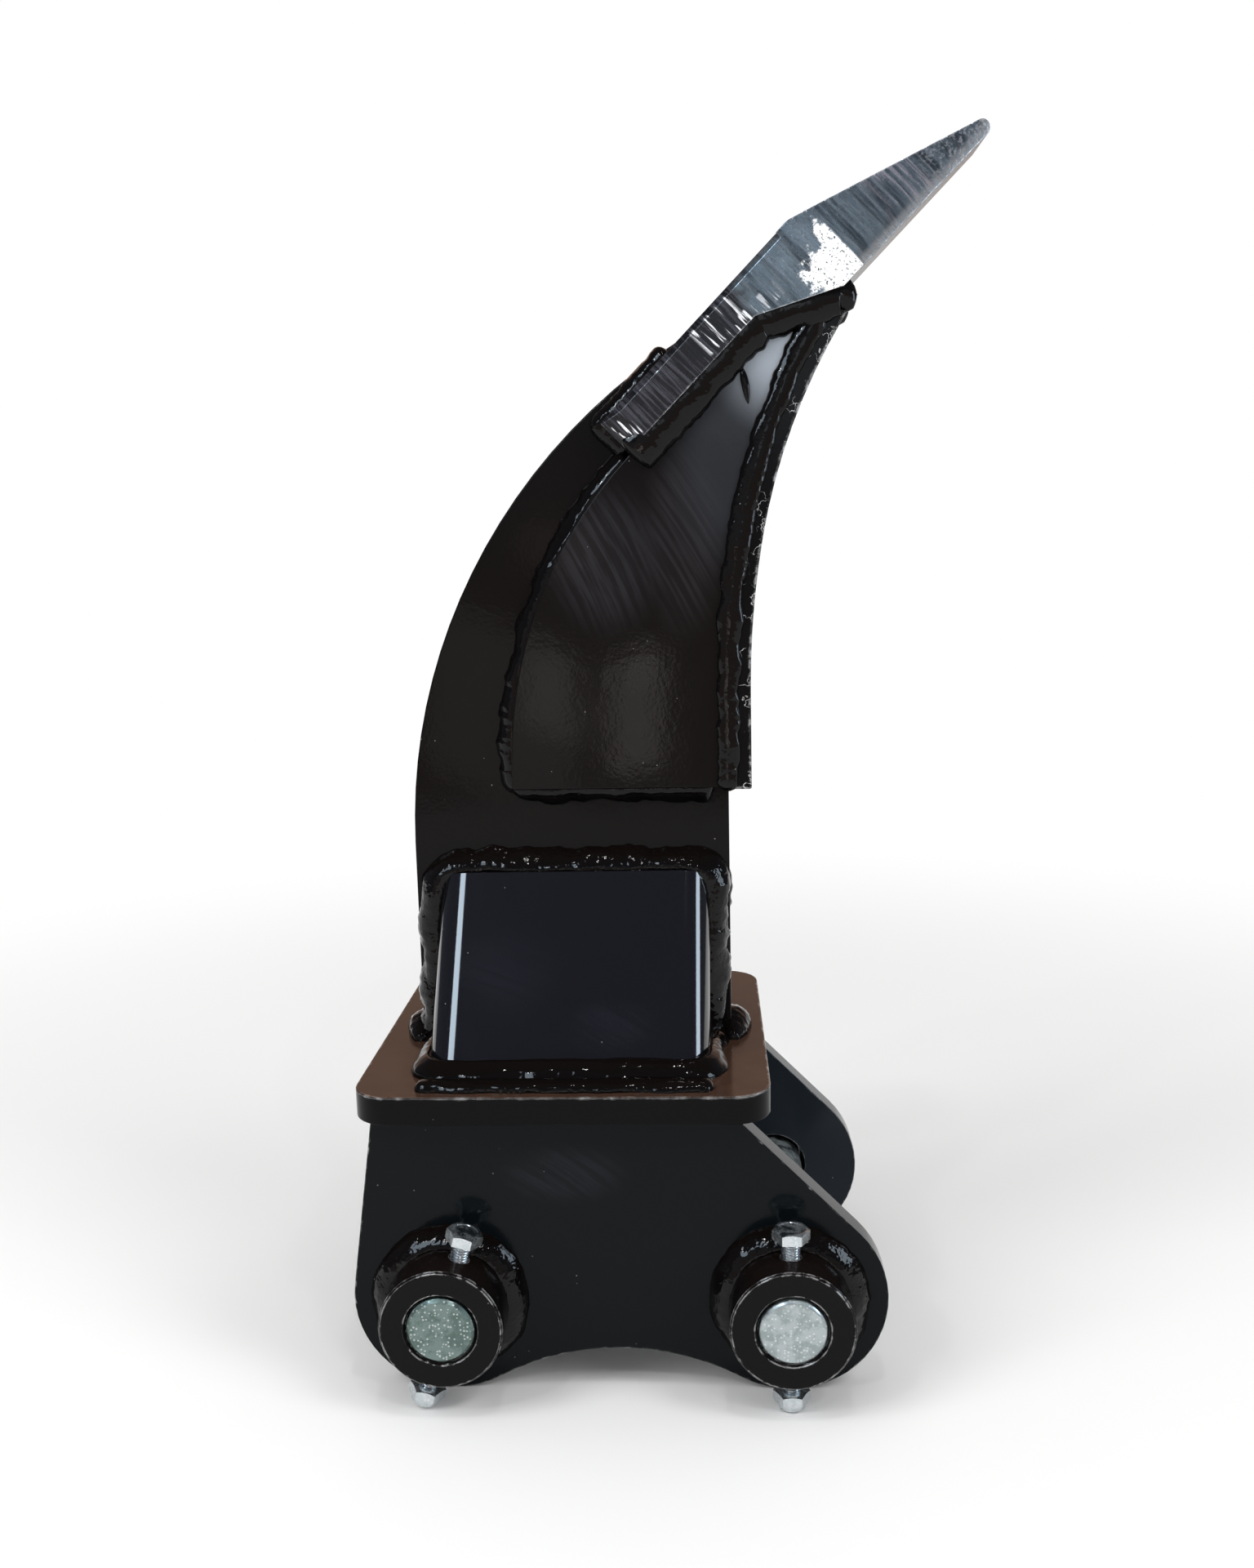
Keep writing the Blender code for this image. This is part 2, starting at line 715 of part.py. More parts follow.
def tooth_point():
    """Where the blade's two faces would meet, along and across the tooth."""
    fall = TOOTH_LEG_HEIGHT + TOOTH_HEEL_DROP
    return TOOTH_SHOULDER_AT + fall / math.tan(TOOTH_BLADE_SLOPE), -TOOTH_HEEL_DROP


def nose_centre():
    """The centre of the tooth's rounded nose, along and across the tooth."""
    along, across = tooth_point()
    return along - TOOTH_NOSE_R / math.tan(TOOTH_BLADE_SLOPE / 2), across + TOOTH_NOSE_R


def nose_reach():
    """How far in X the tooth's nose reaches."""
    return on_tooth(*nose_centre())[0] + TOOTH_NOSE_R


def tooth_profile():
    """The tooth's side view, along and across itself."""
    heel = (TOOTH_HEEL_AT, -TOOTH_HEEL_DROP)
    shoulder = (TOOTH_SHOULDER_AT, TOOTH_LEG_HEIGHT)
    leg_top = (0.0, TOOTH_LEG_HEIGHT)
    nose = rounded([heel, tooth_point(), shoulder], TOOTH_NOSE_R, closed=False)[:-1]
    bend = rounded([tooth_point(), shoulder, leg_top], TOOTH_SHOULDER_R, closed=False)[1:-1]
    return [(0.0, 0.0), (TOOTH_LEG_LENGTH, 0.0)] + nose + bend + [leg_top]


def make_tooth():
    """The forked tooth: its outline, less the slot, the side tapers and the chamfers."""
    place = Matrix.Translation((TOOTH_FOOT_X, 0, TOOTH_FOOT_HEIGHT))
    place = place @ Matrix.Rotation(-TOOTH_TILT, 4, "Y")
    tooth = flat_piece("tooth", tooth_profile(), 2 * TOOTH_FACE, place @ SIDE_VIEW)
    to_body = SIDE_VIEW.inverted()
    end = -CUT_MARGIN
    far = tooth_point()[0] + CUT_MARGIN
    tall = 2 * (TOOTH_LEG_HEIGHT + TOOTH_HEEL_DROP + CUT_MARGIN)
    slot = [
        (end, -TOOTH_SLOT_FACE),
        (TOOTH_LEG_LENGTH, -TOOTH_SLOT_FACE),
        (TOOTH_LEG_LENGTH, TOOTH_SLOT_FACE),
        (end, TOOTH_SLOT_FACE),
    ]
    cutters = [flat_piece("tooth_slot", slot, tall, to_body, tooth),
               tooth_chamfer("front", -1, to_body, tooth),
               tooth_chamfer("rear", 1, to_body, tooth)]
    taper = math.atan2(TOOTH_FACE - TOOTH_TIP_WIDTH / 2, nose_centre()[0] - TOOTH_CREASE_AT)
    for side, name in ((-1, "front"), (1, "rear")):
        face = side * TOOTH_FACE
        out = side * (TOOTH_FACE + CUT_MARGIN)
        drop = (far - TOOTH_CREASE_AT) * math.tan(taper)
        wedge = [(TOOTH_CREASE_AT, face), (far, face - side * drop), (far, out), (TOOTH_CREASE_AT, out)]
        cutters.append(flat_piece(f"tooth_taper_{name}", wedge, tall, to_body, tooth))
        ramp = [(end, face - side * TOOTH_RAMP_DEPTH), (0.0, face - side * TOOTH_RAMP_DEPTH),
                (TOOTH_RAMP_LENGTH, face), (TOOTH_RAMP_LENGTH, out), (end, out)]
        cutters.append(flat_piece(f"tooth_ramp_{name}", ramp, tall, to_body, tooth))
        cutters.append(tooth_facet(name, side, taper, far, to_body, tooth))
    for cutter in cutters:
        as_cutter(cutter)
        use_boolean(tooth, cutter, "DIFFERENCE")
    finish(tooth, TOOTH_PAINT)
    return tooth


def across_tooth(along):
    """Placement of an outline in (Y, Z) at a place along the tooth."""
    return Matrix(((0, 0, 1, along), (1, 0, 0, 0), (0, 1, 0, 0), (0, 0, 0, 1)))


def tooth_facet(name, side, taper, far, to_body, tooth):
    """The cutter of the long facet along the blade's lower edge."""
    line_in = Vector((-TOOTH_FACET_DEPTH, -TOOTH_FACET_HEIGHT)).normalized() * CUT_MARGIN
    ridge = Vector((0.0, TOOTH_FACET_HEIGHT - TOOTH_HEEL_DROP)) - line_in
    foot = Vector((-TOOTH_FACET_DEPTH, -TOOTH_HEEL_DROP)) + line_in
    out = 2 * CUT_MARGIN
    outline = [
        (side * ridge.x, ridge.y),
        (side * foot.x, foot.y),
        (side * out, foot.y),
        (side * out, ridge.y),
    ]
    length = far - TOOTH_CREASE_AT + TOOTH_FACET_LEAD
    turn = Matrix.Rotation(-side * taper, 4, "Z")
    start = Matrix.Translation((TOOTH_CREASE_AT, side * TOOTH_FACE, 0))
    placement = to_body @ start @ turn @ across_tooth(length / 2 - TOOTH_FACET_LEAD)
    return flat_piece(f"tooth_facet_{name}", outline, length, placement, tooth)


def tooth_chamfer(name, side, to_body, tooth):
    """The cutter of the chamfer along a leg's upper edge, up to the shoulder's bend."""
    leg = TOOTH_TOP_CHAMFER
    outline = [
        (side * (TOOTH_FACE + CUT_MARGIN), TOOTH_LEG_HEIGHT - leg - CUT_MARGIN),
        (side * (TOOTH_FACE + CUT_MARGIN), TOOTH_LEG_HEIGHT + CUT_MARGIN),
        (side * (TOOTH_FACE - leg - CUT_MARGIN), TOOTH_LEG_HEIGHT + CUT_MARGIN),
    ]
    length = 2 * (TOOTH_SHOULDER_AT - TOOTH_SHOULDER_R)
    return flat_piece(f"tooth_chamfer_{name}", outline, length, to_body @ across_tooth(0.0), tooth)


def make_top_welds(bar, cheeks, tooth):
    """The beads round the cheeks, along the wear bar and round the tooth's legs."""
    bar_guard = guard(bar)
    tooth_guard = guard(tooth)
    bar_line = bar_path((BAR_THICKNESS + CHEEK_FRONT_INSET) / 2, CHEEK_FOOT_HEIGHT,
                        BAR_WELD_REACH, ROUTE_ERROR)
    back_edge = cheek_back(CHEEK_WELD_START, ROUTE_ERROR)
    cheek_foot = (BAR_X - CHEEK_FRONT_INSET - CHEEK_WELD_REACH, CHEEK_FOOT_HEIGHT)
    foot_bend = bent_route([back_edge[-2], back_edge[-1], cheek_foot], CHEEK_WELD_REACH * BEAD_BEND)
    cheek_route = back_edge[:-1] + foot_bend[1:]
    under_leg = [on_tooth(0.0, 0.0), on_tooth(TOOTH_LEG_LENGTH, 0.0), bar_corner(BAR_THICKNESS / 2)]
    over_leg = [
        on_tooth(0.0, 0.0),
        on_tooth(0.0, TOOTH_LEG_HEIGHT),
        on_tooth(LEG_TOP_WELD_LENGTH, TOOTH_LEG_HEIGHT),
    ]
    for side, name in ((-1, "front"), (1, "rear")):
        cheek_guard = guard(cheeks[side])
        on_cheek = inside_cut(f"cheek_cut_{name}", side, CHEEK_FACE)
        on_shank = inside_cut(f"shank_cut_{name}", side, SHANK_FACE)
        bar_weld = bead(
            f"bar_weld_{name}", bar_line, at_side(side, CHEEK_FACE),
            BAR_WELD_REACH, BAR_WELD_RISE, [on_cheek, bar_guard, tooth_guard])
        leg_weld = bead(
            f"leg_weld_{name}", bent_route(under_leg, LEG_WELD_REACH * BEAD_BEND),
            at_side(side, CHEEK_FACE), LEG_WELD_REACH, LEG_WELD_RISE,
            [on_cheek, bar_guard, tooth_guard, guard(bar_weld)])
        cheek_weld = bead(
            f"cheek_weld_{name}", cheek_route,
            at_side(side, SHANK_FACE), CHEEK_WELD_REACH, CHEEK_WELD_RISE,
            [on_shank, cheek_guard, tooth_guard, guard(leg_weld)])
        bead(
            f"leg_end_weld_{name}", bent_route(over_leg, LEG_END_WELD_REACH * BEAD_BEND),
            at_side(side, SHANK_FACE), LEG_END_WELD_REACH, LEG_END_WELD_RISE,
            [on_shank, cheek_guard, tooth_guard, guard(leg_weld), guard(cheek_weld)])


def bar_corner(inset):
    """Where a line an inset inside the wear bar's face meets the heel."""
    return bar_path(inset, BAR_FOOT_HEIGHT, 0.0)[-1]


def bent_route(corners, radius):
    """The path of a bead through corners, with bends wide enough for it."""
    return rounded(corners, radius, closed=False, error=ROUTE_ERROR)


# Gussets and the welds at the shank's foot

def gusset_section(side):
    """The gusset's U section in plan, its web facing out to the given side."""
    half = GUSSET_WIDTH / 2
    deep = -side * (GUSSET_DEPTH + GUSSET_SHEET)
    face = -side * GUSSET_SHEET
    inner = half - GUSSET_SHEET
    bend = rounded([(-half, deep), (-half, 0), (half, 0), (half, deep)], GUSSET_BEND_R, closed=False)
    fold = rounded([(inner, deep), (inner, face), (-inner, face), (-inner, deep)],
                   GUSSET_BEND_R - GUSSET_SHEET, closed=False)
    return bend + fold


def make_gusset(side, name, shank_cut, plate_cut):
    """A folded plate: a U section run up the slope and cut to the shank and plate."""
    rise = GUSSET_HEIGHT / math.cos(GUSSET_LEAN)
    base = Matrix.Translation((GUSSET_CENTRE_X, side * (SHANK_FACE + GUSSET_DEPTH), PLATE_TOP))
    lean = Matrix.Rotation(side * GUSSET_LEAN, 4, "X")
    gusset = flat_piece(f"gusset_{name}", gusset_section(side), rise, base @ lean)
    gusset.data.transform(Matrix.Translation((0, 0, rise / 2)))
    for vertex in gusset.data.vertices:
        share = vertex.co.z / rise
        narrowed = 1 + (GUSSET_TOP_WIDTH / GUSSET_WIDTH - 1) * share
        vertex.co.x = vertex.co.x * narrowed + GUSSET_TOP_SHIFT * share
    use_boolean(gusset, shank_cut, "DIFFERENCE")
    use_boolean(gusset, plate_cut, "DIFFERENCE")
    finish(gusset, BLACK_PAINT)
    return gusset


def make_foot(shank, plate):
    """The gussets and every bead round the shank's foot."""
    plate_cut = block("foot_plate_cut", (-CUT_FAR, -CUT_FAR, 0.0), (CUT_FAR, CUT_FAR, PLATE_TOP + SEAT))
    plate_guard = guard(plate)
    base_welds = []
    for side, name in ((-1, "front"), (1, "rear")):
        shank_cut = inside_cut(f"foot_cut_{name}", side, SHANK_FACE)
        gusset = make_gusset(side, name, shank_cut, plate_cut)
        gusset_guard = guard(gusset)
        base = bead(
            f"gusset_base_weld_{name}", gusset_base_route(side), at_height(PLATE_TOP),
            GUSSET_BASE_WELD, GUSSET_BASE_WELD, [plate_guard, shank_cut, gusset_guard])
        base_guard = guard(base)
        toe = side * (SHANK_FACE + GUSSET_DEPTH + GUSSET_BASE_WELD + GUSSET_TOE_WELD_REACH)
        half = GUSSET_WIDTH / 2
        toe_route = [(GUSSET_CENTRE_X - half, toe), (GUSSET_CENTRE_X + half, toe)]
        bead(f"gusset_toe_weld_{name}", toe_route, at_height(PLATE_TOP),
             GUSSET_TOE_WELD_REACH, GUSSET_TOE_WELD_RISE, [plate_guard, base_guard])
        sides = bead(
            f"gusset_side_weld_{name}", gusset_side_route(), at_side(side, SHANK_FACE),
            GUSSET_SIDE_WELD_REACH, GUSSET_SIDE_WELD_RISE,
            [plate_guard, shank_cut, gusset_guard, base_guard])
        base_welds += [base_guard, guard(sides)]
    shank_guard = guard(shank)
    ends = ((SHANK_BACK_X, "left"), (BAR_X - BAR_THICKNESS - SEAT, "right"))
    for x, name in ends:
        long = SHANK_FACE + FOOT_WELD_OVERHANG
        places = [2 * i / FOOT_WELD_STEPS - 1 for i in range(FOOT_WELD_STEPS + 1)]
        route = [(x, long * place) for place in places]
        radii = [1 - FOOT_WELD_TAPER * abs(place) for place in places]
        bead(f"foot_weld_{name}", route, at_height(PLATE_TOP), FOOT_WELD_REACH, FOOT_WELD_REACH,
             [plate_guard, shank_guard] + base_welds, radii)


def gusset_base_route(side):
    """The path of the bead round a gusset's foot, in plan."""
    half = GUSSET_WIDTH / 2
    left = GUSSET_CENTRE_X - half
    right = GUSSET_CENTRE_X + half
    front = side * (SHANK_FACE + GUSSET_DEPTH)
    inner = side * SHANK_FACE
    corners = [(left, inner), (left, front), (right, front), (right, inner)]
    return bent_route(corners, GUSSET_BEND_R)


def gusset_side_route():
    """The path of the bead up one side of a gusset, over its top and down the other."""
    half = GUSSET_WIDTH / 2
    half_top = GUSSET_TOP_WIDTH / 2
    centre_top = GUSSET_CENTRE_X + GUSSET_TOP_SHIFT
    top = PLATE_TOP + GUSSET_HEIGHT
    corners = [
        (GUSSET_CENTRE_X - half, PLATE_TOP),
        (centre_top - half_top, top),
        (centre_top + half_top, top),
        (GUSSET_CENTRE_X + half, PLATE_TOP),
    ]
    return bent_route(corners, GUSSET_BEND_R)


def build():
    """Make every piece and set the part on its own footprint's middle."""
    ears = make_ears()
    make_pins_and_bosses()
    plate = make_plate()
    make_ear_welds(ears, plate)
    shank = make_shank()
    bar = make_wear_bar()
    cheeks = make_cheeks()
    tooth = make_tooth()
    make_top_welds(bar, cheeks, tooth)
    make_foot(shank, plate)
    leftmost = -PIN_HALF_SPACING - LOBE_R
    FRAME.location = (-(leftmost + nose_reach()) / 2, 0.0, 0.0)
    bpy.context.view_layer.update()


build()
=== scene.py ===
"""Looks of the ripper shank tooth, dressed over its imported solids.

Plate work keeps the outline of its CAD solid and gets rounded arrises. Weld beads are
swept again with ripples, lumps and ragged toes. Bolts get threads and chamfered hexes.
Sizes are in metres, Z is up, and the front ear faces -Y.
"""

import logging
import math
from dataclasses import dataclass, replace
from enum import Enum
from typing import Callable, Iterable, Sequence

import bmesh
import bpy
from mathutils import Matrix, Vector, noise


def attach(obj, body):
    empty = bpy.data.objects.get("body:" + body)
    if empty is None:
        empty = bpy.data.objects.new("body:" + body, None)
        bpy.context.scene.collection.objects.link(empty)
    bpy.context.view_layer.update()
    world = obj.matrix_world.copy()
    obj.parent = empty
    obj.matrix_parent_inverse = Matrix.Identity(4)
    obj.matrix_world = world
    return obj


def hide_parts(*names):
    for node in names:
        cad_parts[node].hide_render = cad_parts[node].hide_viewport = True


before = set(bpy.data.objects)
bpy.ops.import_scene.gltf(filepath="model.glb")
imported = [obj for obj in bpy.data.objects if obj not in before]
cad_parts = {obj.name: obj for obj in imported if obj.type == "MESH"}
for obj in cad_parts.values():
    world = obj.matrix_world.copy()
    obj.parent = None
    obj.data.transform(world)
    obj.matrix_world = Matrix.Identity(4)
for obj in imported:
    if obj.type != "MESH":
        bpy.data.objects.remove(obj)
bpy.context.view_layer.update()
LOG = logging.getLogger("ripper_shank_tooth")
BODY = "root"

Colour = tuple[float, float, float]
Place = tuple[float, float, float]
Point = tuple[float, float]
Socket = bpy.types.NodeSocket
Sockets = bpy.types.bpy_prop_collection
Look = bpy.types.Material
Piece = bpy.types.Object
Corner = bmesh.types.BMVert

SIDES = ((-1, "front"), (1, "rear"))
HANDS = ((-1, "left"), (1, "right"))
SHIFT_X = -0.027775
UP = Vector((0, 0, 1))
MERGE = 1e-5
FLAT_ANGLE = math.radians(0.4)
ARRIS_ANGLE = math.radians(28)
SKIN_ANGLE = math.radians(32)
ARRIS_SEGMENTS = 3
FACE_WEIGHT = 100
SOFTENING_PASSES = 3
CHAMFER_SLOPE = math.tan(math.radians(30))
COAT_ROUGHNESS = 0.06
SPECK_COLOUR = (0.16, 0.15, 0.14)
FLAKE_COLOUR = (0.86, 0.90, 0.89)
WHITE = (1.0, 1.0, 1.0)

# How finely the parts of a bead's shape vary, in waves per metre
TOE_WAVES = 70.0
LUMP_WAVES = 75.0
GRIT_WAVES = 210.0
RIDGE_WAVES = 28.0


class Slot(Enum):
    """The record's material slots."""

    PAINT = "gloss_black_paint"
    WELD = "painted_weld"
    TOOTH = "tooth_steel"
    PIN = "zinc_plate"
    FASTENER = "zinc_fastener"


# Shader node building

class Graph:
    """A node tree being built, with short ways to add and join nodes."""

    def __init__(self, tree: bpy.types.NodeTree) -> None:
        """Keep the tree that nodes are added to."""
        self.tree = tree

    def feed(self, socket: Socket, value: object) -> None:
        """Link a socket to another, or set its value.

        Args:
            socket: The input socket.
            value: An output socket, or a plain value. A colour comes without its alpha.
        """
        if isinstance(value, bpy.types.NodeSocket):
            self.tree.links.new(value, socket)
        elif socket.type == "RGBA":
            socket.default_value = (*value, 1.0)
        else:
            socket.default_value = value

    def fill(self, node: bpy.types.Node, inputs: dict) -> None:
        """Feed a node's inputs, by name or index."""
        for key, value in inputs.items():
            self.feed(node.inputs[key], value)

    def add(self, kind: str, inputs: dict | None = None, **settings: object) -> bpy.types.Node:
        """Add a node.

        Args:
            kind: The node's type.
            inputs: Values or output sockets, by input name or index.
            **settings: Properties of the node.

        Returns:
            The new node.
        """
        node = self.tree.nodes.new(kind)
        for name, value in settings.items():
            setattr(node, name, value)
        self.fill(node, inputs or {})
        return node

    def math(self, operation: str, first: object, second: object = 0.0) -> Socket:
        """Return the result of a math node."""
        return self.add("ShaderNodeMath", {0: first, 1: second}, operation=operation).outputs[0]

    def times(self, first: object, second: object) -> Socket:
        """Return the product of two values."""
        return self.math("MULTIPLY", first, second)

    def plus(self, first: object, second: object) -> Socket:
        """Return the sum of two values."""
        return self.math("ADD", first, second)

    def minus(self, first: object, second: object) -> Socket:
        """Return what is left of the first value without the second."""
        return self.math("SUBTRACT", first, second)

    def most(self, first: object, second: object) -> Socket:
        """Return the larger of two values."""
        return self.math("MAXIMUM", first, second)

    def away(self, value: object, middle: object) -> Socket:
        """Return how far a value is from the middle, without its sign."""
        return self.math("ABSOLUTE", self.minus(value, middle))

    def vector(self, operation: str, first: object, second: object) -> Socket:
        """Return the vector result of a vector math node."""
        node = self.add("ShaderNodeVectorMath", {0: first, 1: second}, operation=operation)
        return node.outputs["Vector"]

    def length(self, vector: object) -> Socket:
        """Return the length of a vector."""
        return self.add("ShaderNodeVectorMath", {0: vector}, operation="LENGTH").outputs["Value"]

    def step(self, value: object, low: object, high: object) -> Socket:
        """Return 0 below low and 1 above high, with a smooth rise between them."""
        inputs = {"Value": value, "From Min": low, "From Max": high}
        return self.add("ShaderNodeMapRange", inputs, interpolation_type="SMOOTHSTEP").outputs[0]

    def spread(self, value: object, low: float, high: float) -> Socket:
        """Return a value from 0 to 1 spread over the range from low to high."""
        inputs = {"Value": value, "To Min": low, "To Max": high}
        return self.add("ShaderNodeMapRange", inputs).outputs[0]

    def blend(self, share: object, first: object, second: object, kind: str = "MIX") -> Socket:
        """Return two colours mixed, or joined in another way of the Mix node."""
        inputs = {0: share, 6: first, 7: second}
        return self.add("ShaderNodeMix", inputs, data_type="RGBA", blend_type=kind).outputs[2]

    def noise(self, vector: object, scale: object, detail: float = 2.0, rough: float = 0.5) -> Socket:
        """Return the factor of a noise texture."""
        inputs = {"Vector": vector, "Scale": scale, "Detail": detail, "Roughness": rough}
        return self.add("ShaderNodeTexNoise", inputs).outputs["Fac"]

    def split(self, vector: object) -> tuple[Socket, Socket, Socket]:
        """Return the three parts of a vector."""
        parts = self.add("ShaderNodeSeparateXYZ", {0: vector}).outputs
        return parts[0], parts[1], parts[2]

    def join(self, x: object, y: object, z: object) -> Socket:
        """Return a vector made of three parts."""
        return self.add("ShaderNodeCombineXYZ", {0: x, 1: y, 2: z}).outputs[0]

    def bump(self, height: Socket, distance: float) -> Socket:
        """Return the normal that a height gives."""
        return self.add("ShaderNodeBump", {"Height": height, "Distance": distance}).outputs[0]

    def group(self, effect: bpy.types.NodeTree, **inputs: object) -> Socket:
        """Place a node group.

        Args:
            effect: The node group.
            **inputs: Values or output sockets, by input name.

        Returns:
            Its first output.
        """
        node = self.tree.nodes.new("ShaderNodeGroup")
        node.node_tree = effect
        self.fill(node, inputs)
        return node.outputs[0]


def new_effect(
    name: str,
    inputs: dict[str, object],
    output: str,
    fill: Callable[[Graph, Sockets], Socket],
) -> bpy.types.NodeTree:
    """Build a node group with one float output.

    Args:
        name: The group's name.
        inputs: Default value by input name; None makes a vector input.
        output: The output's name.
        fill: Adds the nodes and returns the socket that feeds the output.

    Returns:
        The node group.
    """
    tree = bpy.data.node_groups.new(name, "ShaderNodeTree")
    for label, value in inputs.items():
        kind = "NodeSocketVector" if value is None else "NodeSocketFloat"
        socket = tree.interface.new_socket(name=label, in_out="INPUT", socket_type=kind)
        if value is not None:
            socket.default_value = value
    tree.interface.new_socket(name=output, in_out="OUTPUT", socket_type="NodeSocketFloat")
    graph = Graph(tree)
    given = graph.add("NodeGroupInput").outputs
    graph.add("NodeGroupOutput", {0: fill(graph, given)})
    return tree


def edge_wear(graph: Graph, given: Sockets) -> Socket:
    """Mask the chips along arrises: near an edge, and in patches.

    Args:
        graph: The group's graph.
        given: The group's inputs.

    Returns:
        The mask.
    """
    bevel = graph.add("ShaderNodeBevel", {"Radius": given["Reach"]}, samples=4)
    normal = graph.add("ShaderNodeNewGeometry").outputs["Normal"]
    alike = graph.add("ShaderNodeVectorMath", {0: bevel.outputs[0], 1: normal}, operation="DOT_PRODUCT")
    turn = graph.minus(1.0, alike.outputs["Value"])
    patch = graph.noise(given["Vector"], given["Scale"], 5.0, 0.65)
    over = graph.minus(graph.plus(graph.times(turn, 0.9), patch), given["Level"])
    return graph.times(graph.step(turn, 0.01, 0.05), graph.step(over, 0.0, 0.03))


def specks(graph: Graph, given: Sockets) -> Socket:
    """Mask rare small dots, such as dust under paint.

    Args:
        graph: The group's graph.
        given: The group's inputs.

    Returns:
        The mask.
    """
    inputs = {"Vector": given["Vector"], "Scale": given["Scale"]}
    cells = graph.add("ShaderNodeTexVoronoi", inputs)
    rare = graph.math("GREATER_THAN", graph.split(cells.outputs["Color"])[0], given["Rarity"])
    return graph.times(rare, graph.math("LESS_THAN", cells.outputs["Distance"], given["Size"]))


def peel(graph: Graph, given: Sockets) -> Socket:
    """Make the height of sprayed paint: fine orange peel over slow waves.

    Args:
        graph: The group's graph.
        given: The group's inputs.

    Returns:
        The height.
    """
    fine = graph.noise(given["Vector"], given["Scale"], 1.0)
    slow = graph.noise(given["Vector"], graph.times(given["Scale"], 0.16), 1.0)
    return graph.plus(fine, graph.times(slow, given["Waves"]))


def loops(graph: Graph, given: Sockets) -> Socket:
    """Mask thin curled scratches on the sides, where a slow noise crosses its middle.

    Args:
        graph: The group's graph.
        given: The group's inputs.

    Returns:
        The mask.
    """
    slow = graph.noise(given["Vector"], given["Scale"], 2.0, 0.6)
    thin = graph.step(graph.away(slow, 0.5), given["Width"], 0.0)
    thin = graph.times(thin, graph.step(graph.noise(given["Vector"], 60.0), 0.48, 0.58))
    aside = graph.math("ABSOLUTE", graph.split(given["Vector"])[1])
    return graph.times(thin, graph.math("GREATER_THAN", aside, given["Beyond"]))


def streaks(graph: Graph, given: Sockets) -> Socket:
    """Mask fine parallel streaks that run along the vector's first part.

    Args:
        graph: The group's graph.
        given: The group's inputs.

    Returns:
        The mask.
    """
    x, y, z = graph.split(given["Vector"])
    stretched = graph.join(graph.times(x, given["Along"]), graph.times(y, given["Across"]), z)
    over = graph.minus(graph.noise(stretched, 1.0, 3.0, 0.6), given["Level"])
    return graph.step(over, 0.0, 0.16)


def dust_and_sheen(graph: Graph, given: Sockets) -> Socket:
    """Mask upward faces in patches: dust, and a painted sheen of reflected light on top faces.

    Args:
        graph: The group's graph.
        given: The group's inputs.

    Returns:
        The mask.
    """
    normal = graph.add("ShaderNodeNewGeometry").outputs["Normal"]
    up = graph.step(graph.split(normal)[2], 0.25, 0.95)
    patch = graph.spread(graph.noise(given["Vector"], given["Scale"], 4.0), 0.6, 1.2)
    return graph.times(up, patch)


class Effects:
    """The shared node groups, built once."""

    def __init__(self) -> None:
        """Build every group."""
        place = {"Vector": None}
        wear = {**place, "Reach": 0.001, "Scale": 300.0, "Level": 0.7}
        self.wear = new_effect("edge_wear", wear, "Mask", edge_wear)
        dots = {**place, "Scale": 300.0, "Rarity": 0.9, "Size": 0.1}
        self.specks = new_effect("specks", dots, "Mask", specks)
        self.peel = new_effect("peel", {**place, "Scale": 500.0, "Waves": 0.8}, "Height", peel)
        lines = {**place, "Along": 10.0, "Across": 900.0, "Level": 0.5}
        self.streaks = new_effect("streaks", lines, "Mask", streaks)
        curls = {**place, "Scale": 150.0, "Width": 0.02, "Beyond": 0.022}
        self.loops = new_effect("loops", curls, "Mask", loops)
        self.dust_and_sheen = new_effect("dust_and_sheen", {**place, "Scale": 60.0}, "Mask", dust_and_sheen)


EFFECTS = Effects()


def new_material(name: str) -> tuple[Look, Graph, bpy.types.Node, Socket]:
    """Start a material.

    Args:
        name: The material's name.

    Returns:
        The material, its graph, its Principled shader and its object coordinates.
    """
    material = bpy.data.materials.new(name)
    material.use_nodes = True
    graph = Graph(material.node_tree)
    shader = material.node_tree.nodes["Principled BSDF"]
    place = graph.add("ShaderNodeTexCoord").outputs["Object"]
    return material, graph, shader, place


# Finishes

@dataclass(frozen=True)
class Mark:
    """An area of a painted face that is rubbed or hazy, or a painted reflection on it.

    Its streaks are arcs about a turning centre. Without one they are left out.
    """

    centre: Place
    reach: Place
    colour: Colour
    share: float
    turning: Place | None = None

    def mask(self, graph: Graph, place: Socket) -> Socket:
        """Mask the mark.

        Args:
            graph: The material's graph.
            place: The object coordinates.

        Returns:
            The mask.
        """
        away = graph.vector("DIVIDE", graph.vector("SUBTRACT", place, self.centre), self.reach)
        area = graph.minus(1.0, graph.step(graph.length(away), 0.35, 1.0))
        if self.turning:
            arm = graph.vector("SUBTRACT", place, self.turning)
            angle = graph.math("ARCTAN2", graph.split(arm)[2], graph.split(arm)[0])
            rings = graph.join(angle, graph.length(arm), 0.0)
            fine = graph.group(EFFECTS.streaks, Vector=rings, Along=5.0, Across=300.0, Level=0.42)
            area = graph.times(area, graph.spread(fine, 0.35, 1.0))
        return graph.times(area, self.share)


